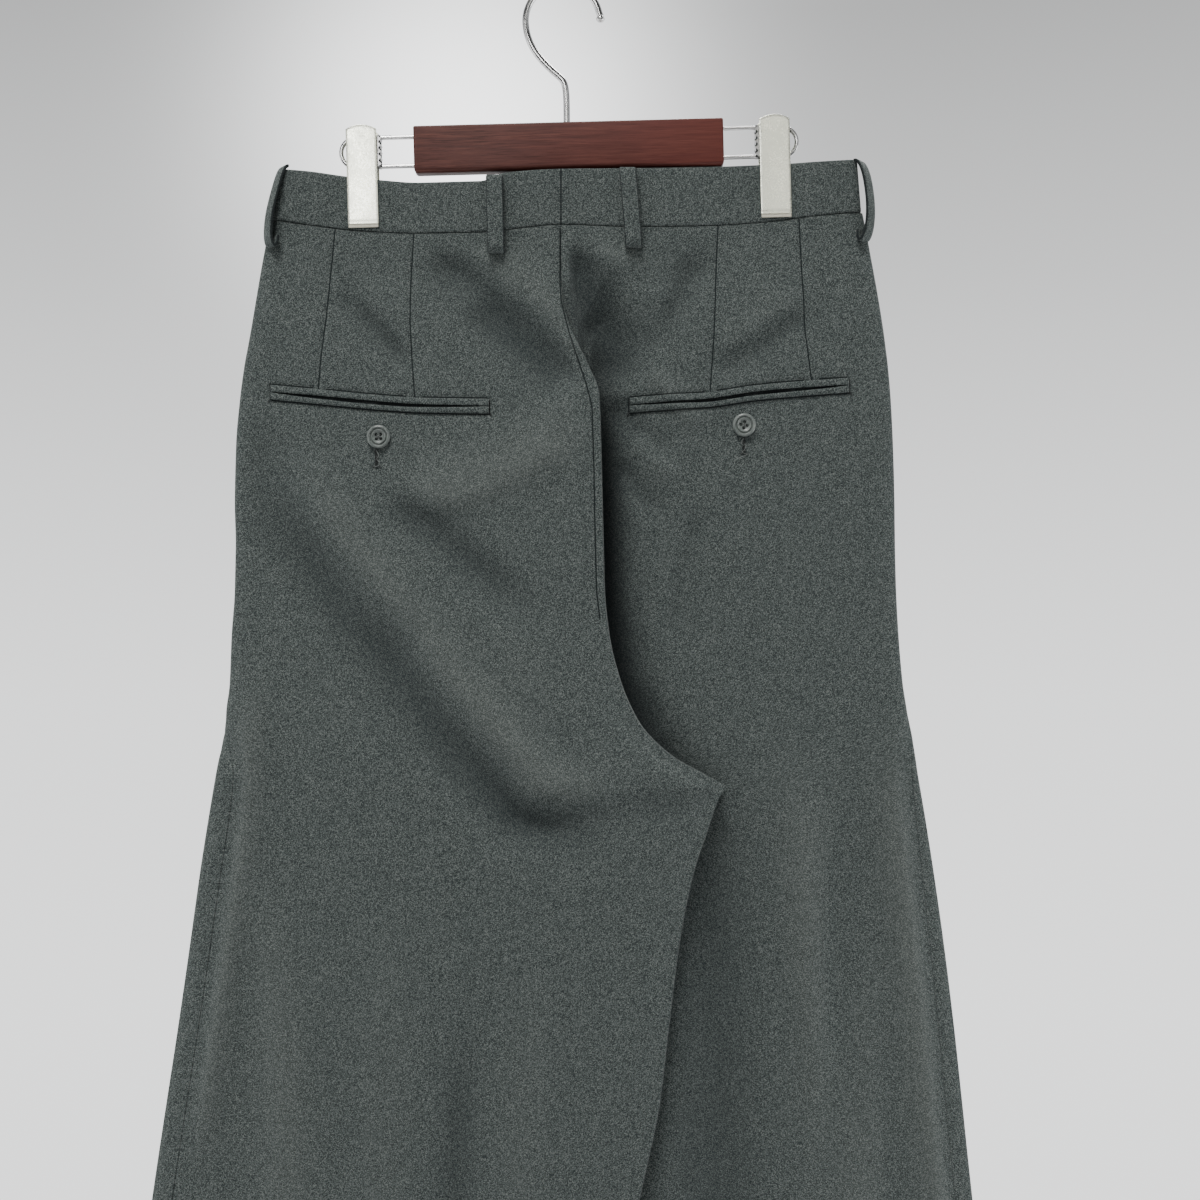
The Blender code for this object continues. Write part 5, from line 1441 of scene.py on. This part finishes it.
def make_button(node, turn, facing, horn, thread):
    """A four-hole button with a raised rim and a dished middle, and the thread that holds it."""
    low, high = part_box(node)
    place = [(a + b) / 2 for a, b in zip(low, high)]
    back = (high if facing < 0 else low)[1]
    profile = [(radius * MM, 0, height * MM) for radius, height in BUTTON_PROFILE]
    lines = [(i, i + 1) for i in range(len(profile) - 1)]
    button = new_piece(f"{node}_disc", profile, [], horn, lines)
    mesh = edit(button)
    mesh.spin(steps=56, angle=2 * math.pi, center=(0, 0, 0), axis=(0, 0, 1))
    mesh.select_all(action="SELECT")
    mesh.remove_doubles(threshold=0.00001)
    mesh.normals_make_consistent(inside=False)
    done()
    angles = [turn + math.pi / 4 + math.pi / 2 * k for k in range(4)]
    holes = [(HOLE_REACH * math.cos(angle), HOLE_REACH * math.sin(angle)) for angle in angles]
    for x, y in holes:
        deselect()
        bpy.ops.mesh.primitive_cylinder_add(vertices=20, radius=HOLE_RADIUS * MM, depth=8 * MM,
                                            location=(x * MM, y * MM, 0))
        drill = bpy.context.object
        finish_with(button, "hole", "BOOLEAN", operation="DIFFERENCE", object=drill, solver="EXACT")
        bpy.data.objects.remove(drill)
    smooth_shading(button, 40)
    stand = Matrix.Rotation(math.pi / 2 if facing < 0 else -math.pi / 2, 4, "X")
    sit = Matrix.Translation((place[0], back, place[2])) @ stand
    button.data.transform(sit)
    button.data.update()
    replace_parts(button, node)
    strands = []
    for a, b in ((0, 2), (1, 3)):
        (x0, y0), (x1, y1) = holes[a], holes[b]
        strands.append([*((x0 * share, y0 * share, rise) for share, rise in THREAD_RISE),
                        (0, 0, 1.35 + 0.15 * a),
                        *((x1 * share, y1 * share, rise) for share, rise in THREAD_RISE[::-1])])
    sewn = tubes(f"{node}_thread", strands, 0.2, thread)
    sewn.data.transform(sit)
    sewn.data.update()
    return [button, sewn]


def zigzag(tree, start, end, width, step, out, facing=-1, bow=0.0):
    """A run of close stitches across a line on the cloth, as one thread."""
    (x0, d0), (x1, d1) = start, end
    length = math.hypot(x1 - x0, d1 - d0)
    ux, ud = (x1 - x0) / length, (d1 - d0) / length
    route = []
    count = int(length / step)
    for k in range(count + 1):
        t = length * k / count
        for side in (-1, 1):
            x = x0 + ux * (t + side * step / 4) - ud * (side * width / 2 + bow)
            depth = d0 + ud * (t + side * step / 4) + ux * (side * width / 2 + bow)
            route.append(lay(tree, x, depth, out, facing))
    return route


# The loose end of each buttonhole's thread, from the buttonhole's top.
LOOSE_ENDS = {
    "left": ((0.2, 3.2), (0.9, 4.6), (1.6, 6.2), (1.2, 7.8), (0.4, 8.4), (0.7, 9.6), (2.0, 10.6), (2.2, 12.4),
             (1.0, 13.6), (-0.8, 13.9)),
    "right": ((-0.2, 3.4), (-1.3, 5.2), (-1.6, 7.2), (-0.4, 8.4), (0.9, 7.2), (1.2, 9.4), (0.2, 11.4),
              (-1.2, 12.8), (0.6, 13.8), (2.8, 14.2), (-1.4, 15.6), (-4.0, 16.8), (-5.6, 16.4)),
}


def make_buttonholes(panels, thread, tail_thread):
    """Worked buttonholes below the two back buttons, each with a bar across its foot and a loose end."""
    pieces = []
    for side, panel, x, top, foot in (("left", "bl", -122.4, 309.5, 322.4),
                                      ("right", "br", 120.3, 300.5, 313.2)):
        tree = tree_of(panels[panel])
        routes = [zigzag(tree, (x, top), (x, foot), 0.7, 0.7, CLOTH / 2 + 0.02, bow=bow)
                  for bow in (-0.55, 0.55)]
        routes.append(zigzag(tree, (x - 2.6, foot + 1.0), (x + 2.6, foot + 1.2), 0.8, 0.7, CLOTH / 2 + 0.05))
        pieces.append(tubes(f"buttonhole_{side}_stitches", routes, 0.24, thread, sides=2))
        tail = [lay(tree, x + a, top + b, CLOTH / 2 + 0.55) for a, b in LOOSE_ENDS[side]]
        pieces.append(tube(f"buttonhole_{side}_loose_end", tail, 0.2, tail_thread))
    return pieces


def make_pocket_tacks(panels, thread):
    """Short bar tacks at the ends of each jetted pocket."""
    pieces = []
    for side, panel in (("left", "bl"), ("right", "br")):
        tree = tree_of(panels[panel])
        slit = POCKETS[side]
        routes = []
        for end, outward in ((slit.key[0], -1), (slit.key[-1], 1)):
            middle = float(slit.at("depth", end))
            x = end + outward * 0.3
            routes.append(zigzag(tree, (x, middle - 4.6), (x, middle + 4.8), 0.5, 0.55, CLOTH / 2 + 0.3))
            routes.append(zigzag(tree, (x + outward * 0.7, middle + 4.8), (x + outward * 1.5, middle + 6.6),
                                 1.0, 0.6, CLOTH / 2 + 0.1))
        pieces.append(tubes(f"pocket_{side}_tacks", routes, 0.18, thread, sides=2))
    return pieces


def stitch_run(name, tree, line, step, thread, facing, out):
    """A row of straight machine stitches along a line of places on the cloth."""
    line = np.array(line, float)
    lengths = np.concatenate(([0], np.cumsum(np.linalg.norm(np.diff(line, axis=0), axis=1))))
    routes = []
    for k in range(int(lengths[-1] / step)):
        ends = []
        for share in (0.12, 0.3, 0.5, 0.7, 0.88):
            t = (k + share) * step
            x, depth = (np.interp(t, lengths, line[:, i]) for i in (0, 1))
            rise = 0.16 * math.sin(math.pi * (share - 0.12) / 0.76)
            ends.append(lay(tree, x, depth, out + rise, facing))
        routes.append(ends)
    return tubes(name, routes, 0.2, thread, sides=2)


def make_front_stitching(fly, facings, thread):
    """The fly's J-shaped row, and the rows beside the slanted pockets."""
    tree = tree_of(fly)
    out, bend = 27.5, 244        # how far out the row runs, and the depth where it turns in
    line = [(FLY_NEAR + out, depth) for depth in np.linspace(170, bend, 12)]
    line += [(FLY_NEAR + out * math.cos(turn), bend + 44 * math.sin(turn))
             for turn in np.linspace(0.1, 1.3, 12)]
    rows = [stitch_run("fly_stitches", tree, line, 2.6, thread, 1, 0.1)]
    for side, facing, sign in (("left", facings[0], -1), ("right", facings[1], 1)):
        tree = tree_of(facing)
        line = [(sign * (front_pocket_x(share) - 3.2), mix(173, 336, share))
                for share in np.linspace(0, 1, 30)]
        rows.append(stitch_run(f"pocket_front_{side}_stitches", tree, line, 2.6, thread, 1, 0.1))
    return rows


# ---------------------------------------------------------------- stage, light and camera
CAMERA_PLACE = (0.02495, -1.016, -0.41118)
CAMERA_LENS = 45.45


def make_camera():
    """Straight on to the back, level, framed from the hook's stem to the knees."""
    data = bpy.data.cameras.new("camera")
    data.lens = CAMERA_LENS
    data.sensor_width = 36
    camera = bpy.data.objects.new("camera", data)
    camera.location = CAMERA_PLACE
    camera.rotation_euler = (math.pi / 2, 0, 0)
    bpy.context.scene.collection.objects.link(camera)
    bpy.context.scene.camera = camera


def make_light(name, place, aim, size, watts, colour):
    data = bpy.data.lights.new(name, "AREA")
    data.shape = "RECTANGLE"
    data.size, data.size_y = size
    data.energy = watts
    data.color = colour
    light = bpy.data.objects.new(name, data)
    light.location = place
    light.rotation_euler = (Vector(aim) - Vector(place)).to_track_quat("-Z", "Y").to_euler()
    bpy.context.scene.collection.objects.link(light)


# The pale wall's brightness from low to high, the soft glow on it behind the hanger (its direction,
# how tight and how bright), and how dim the room is on the camera's side.
WALL = ((0.38, 0.87), (0.47, 0.79), (0.54, 0.63), (0.60, 0.47), (0.68, 0.30), (1.0, 0.25))
GLOW = ((-0.082, 0.952, 0.295), 150, 1.2)
ROOM = 0.10
FLOOR_MIDDLE = (0, -0.35, -1.215)
FLOOR_SIZE = (3.0, 2.4)
MIDDLE = (0, 0, -0.5)            # of the whole object

# Each light's place, aim, size in metres, watts and colour.
LIGHTS = {
    "ceiling_key": ((-0.8, -2.4, 4.15), MIDDLE, (2.0, 1.1), 305, (1, 0.985, 0.96)),
    "left_fill": ((-1.7, -1.1, 0.4), MIDDLE, (0.8, 0.8), 3.5, (1, 0.99, 0.98)),
    "right_fill": ((1.6, -1.2, 0.6), MIDDLE, (0.8, 0.8), 2, (0.97, 0.985, 1)),
    "side_left": ((-1.35, -0.15, -0.6), (-0.2, 0, -0.6), (0.3, 1.2), 4.5, (1, 1, 1)),
    "side_right": ((1.35, -0.15, -0.7), (0.2, 0, -0.7), (0.3, 1.2), 9, (1, 1, 1)),
    "window_left": ((-0.52, -2.2, 0.42), (-0.134, 0, -0.16), (0.36, 0.46), 8, (1, 1, 0.98)),
    "window_right": ((0.5, -2.2, 0.5), (0.141, 0, -0.16), (0.6, 0.5), 2.4, (1, 0.99, 0.93)),
    "front_key": ((0.9, 2.3, 2.6), MIDDLE, (1.2, 1.0), 110, (1, 0.985, 0.96)),
}


def make_studio():
    """A pale room with a soft glow on the wall, a key light overhead and two far windows."""
    n = Nodes(bpy.data.worlds.new("studio"), "Background")
    bpy.context.scene.world = n.owner
    toward, tight, bright = GLOW
    sky = n.add("TexCoord").outputs["Generated"]
    parts = n.add("SeparateXYZ", {0: sky}).outputs
    wall = n.ramp(n.maths("MULTIPLY_ADD", parts["Z"], 0.5, 0.5), *WALL)
    facing = n.add("VectorMath", operation="DOT_PRODUCT")
    n.feed(facing.inputs[0], sky)
    facing.inputs[1].default_value = toward
    glow = n.maths("POWER", n.maths("MAXIMUM", facing.outputs["Value"], 0.0), tight)
    behind = n.ramp(n.maths("MULTIPLY_ADD", parts["Y"], 0.5, 0.5), (0.36, ROOM), (0.68, 1.0))
    bright = n.maths("MULTIPLY", n.maths("MULTIPLY_ADD", glow, bright, wall), behind)
    n.finish(Strength=n.maths("MULTIPLY", bright, 2.0), Color=(0.985, 0.995, 1.0))
    for name, settings in LIGHTS.items():
        make_light(name, *settings)
    bpy.ops.mesh.primitive_plane_add(size=1, location=(0, 0, 0))
    floor = bpy.context.object
    floor.name = "floor"
    floor.data.transform(Matrix.Translation(FLOOR_MIDDLE) @ Matrix.Diagonal((*FLOOR_SIZE, 1, 1)))
    floor.data.materials.append(floor_finish())


# Each cloth piece as it lies flat: width, length and area (m, m, square metres), how it is held
# and what holds it.
SHEETS = {
    "back_left": (0.330, 1.056, 0.288, "hung", "waistband_left_cloth"),
    "back_right": (0.341, 1.087, 0.287, "hung", "waistband_right_cloth"),
    "front_left": (0.352, 1.063, 0.303, "hung", "waistband_left_cloth"),
    "front_right": (0.388, 1.092, 0.333, "hung", "waistband_right_cloth"),
    "waistband_left": (0.436, 0.039, 0.0153, "hung", "clip_left_front_pad", "clip_left_rear_pad"),
    "waistband_right": (0.417, 0.039, 0.0155, "hung", "clip_right_front_pad", "clip_right_rear_pad"),
    "loop_back_left": (0.0112, 0.0585, 0.00065, "stretched", "waistband_left_cloth", "back_left_cloth"),
    "loop_back_right": (0.0112, 0.0595, 0.00066, "stretched", "waistband_right_cloth", "back_right_cloth"),
    "loop_front_left": (0.0112, 0.0580, 0.00064, "stretched", "waistband_left_cloth", "front_left_cloth"),
    "loop_front_right": (0.0112, 0.0580, 0.00064, "stretched", "waistband_right_cloth", "front_right_cloth"),
    "loop_side_left": (0.0112, 0.0660, 0.00073, "stretched", "waistband_left_cloth", "back_left_cloth"),
    "loop_side_right": (0.0112, 0.0660, 0.00073, "stretched", "waistband_right_cloth", "back_right_cloth"),
    "welt_left_upper": (0.147, 0.0100, 0.00064, "laid", "back_left_cloth"),
    "welt_left_lower": (0.147, 0.0100, 0.00053, "laid", "back_left_cloth"),
    "welt_right_upper": (0.148, 0.0100, 0.00065, "laid", "back_right_cloth"),
    "welt_right_lower": (0.148, 0.0100, 0.00054, "laid", "back_right_cloth"),
    "fly": (0.037, 0.136, 0.0045, "laid", "front_left_cloth", "front_right_cloth"),
    "pocket_front_left": (0.0105, 0.172, 0.00168, "laid", "front_left_cloth"),
    "pocket_front_right": (0.0105, 0.172, 0.00168, "laid", "front_right_cloth"),
}

# ---------------------------------------------------------------- all together
make_camera()
deselect()
suit_cloth = suiting("grey_melange_suiting", True)
trim_cloth = suiting("grey_melange_trim", False)
horn = horn_finish()
sewing = thread_finish("dark_grey_thread", (0.009, 0.011, 0.012))
button_thread = thread_finish("grey_button_thread", (0.05, 0.056, 0.054))
loose_thread = thread_finish("pale_grey_thread", (0.13, 0.145, 0.14))
wood = wood_finish()
chrome = metal_finish("bright_chrome", (0.70, 0.70, 0.70), 0.2, (60, 60, 60), 0.01)
nickel = metal_finish("satin_nickel", (0.95, 0.965, 0.83), 0.3, (900, 900, 700), 0.05)
steel = metal_finish("plain_spring_steel", (0.42, 0.42, 0.42), 0.3, (200, 200, 200), 0.05)
rubber = rubber_finish()

panels = make_panels(suit_cloth)
bands = make_waistband(suit_cloth)
loops = make_belt_loops(panels, suit_cloth)
welts = make_welts(panels, trim_cloth)
fly = make_fly(panels, trim_cloth)
facings = make_front_pockets(panels, trim_cloth)

hardware = {"red_brown_wood": [make_bar(wood)], "chrome": [*make_wires(chrome), make_hook(chrome)],
            "brushed_nickel": [], "cream_rubber": []}
for side in CLIP_PLACE:
    for piece in make_clip(side, nickel, steel, rubber):
        hardware["cream_rubber" if piece.name.endswith("pad") else "brushed_nickel"].append(piece)
sewn = []
for node, turn, facing in (("button_back_left", 0.06, -1), ("button_back_right", 0.62, -1),
                           ("button_waistband", 0.3, 1)):
    button, thread = make_button(node, turn, facing, horn, button_thread)
    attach(button, "root")
    sewn.append(thread)
sewn += make_buttonholes(panels, sewing, loose_thread)
sewn += make_pocket_tacks(panels, sewing)
sewn += make_front_stitching(fly, facings, sewing)

cloth_pieces = [*panels.values(), *bands.values(), *loops, *welts, fly, *facings]
for piece in [*cloth_pieces, *sewn]:
    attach(piece, "root")
for slot, pieces in hardware.items():
    for piece in pieces:
        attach(piece, "root")
make_studio()

for node, (wide, long, area, held, *rests) in SHEETS.items():
    piece = bpy.data.objects[f"{node}_cloth"]
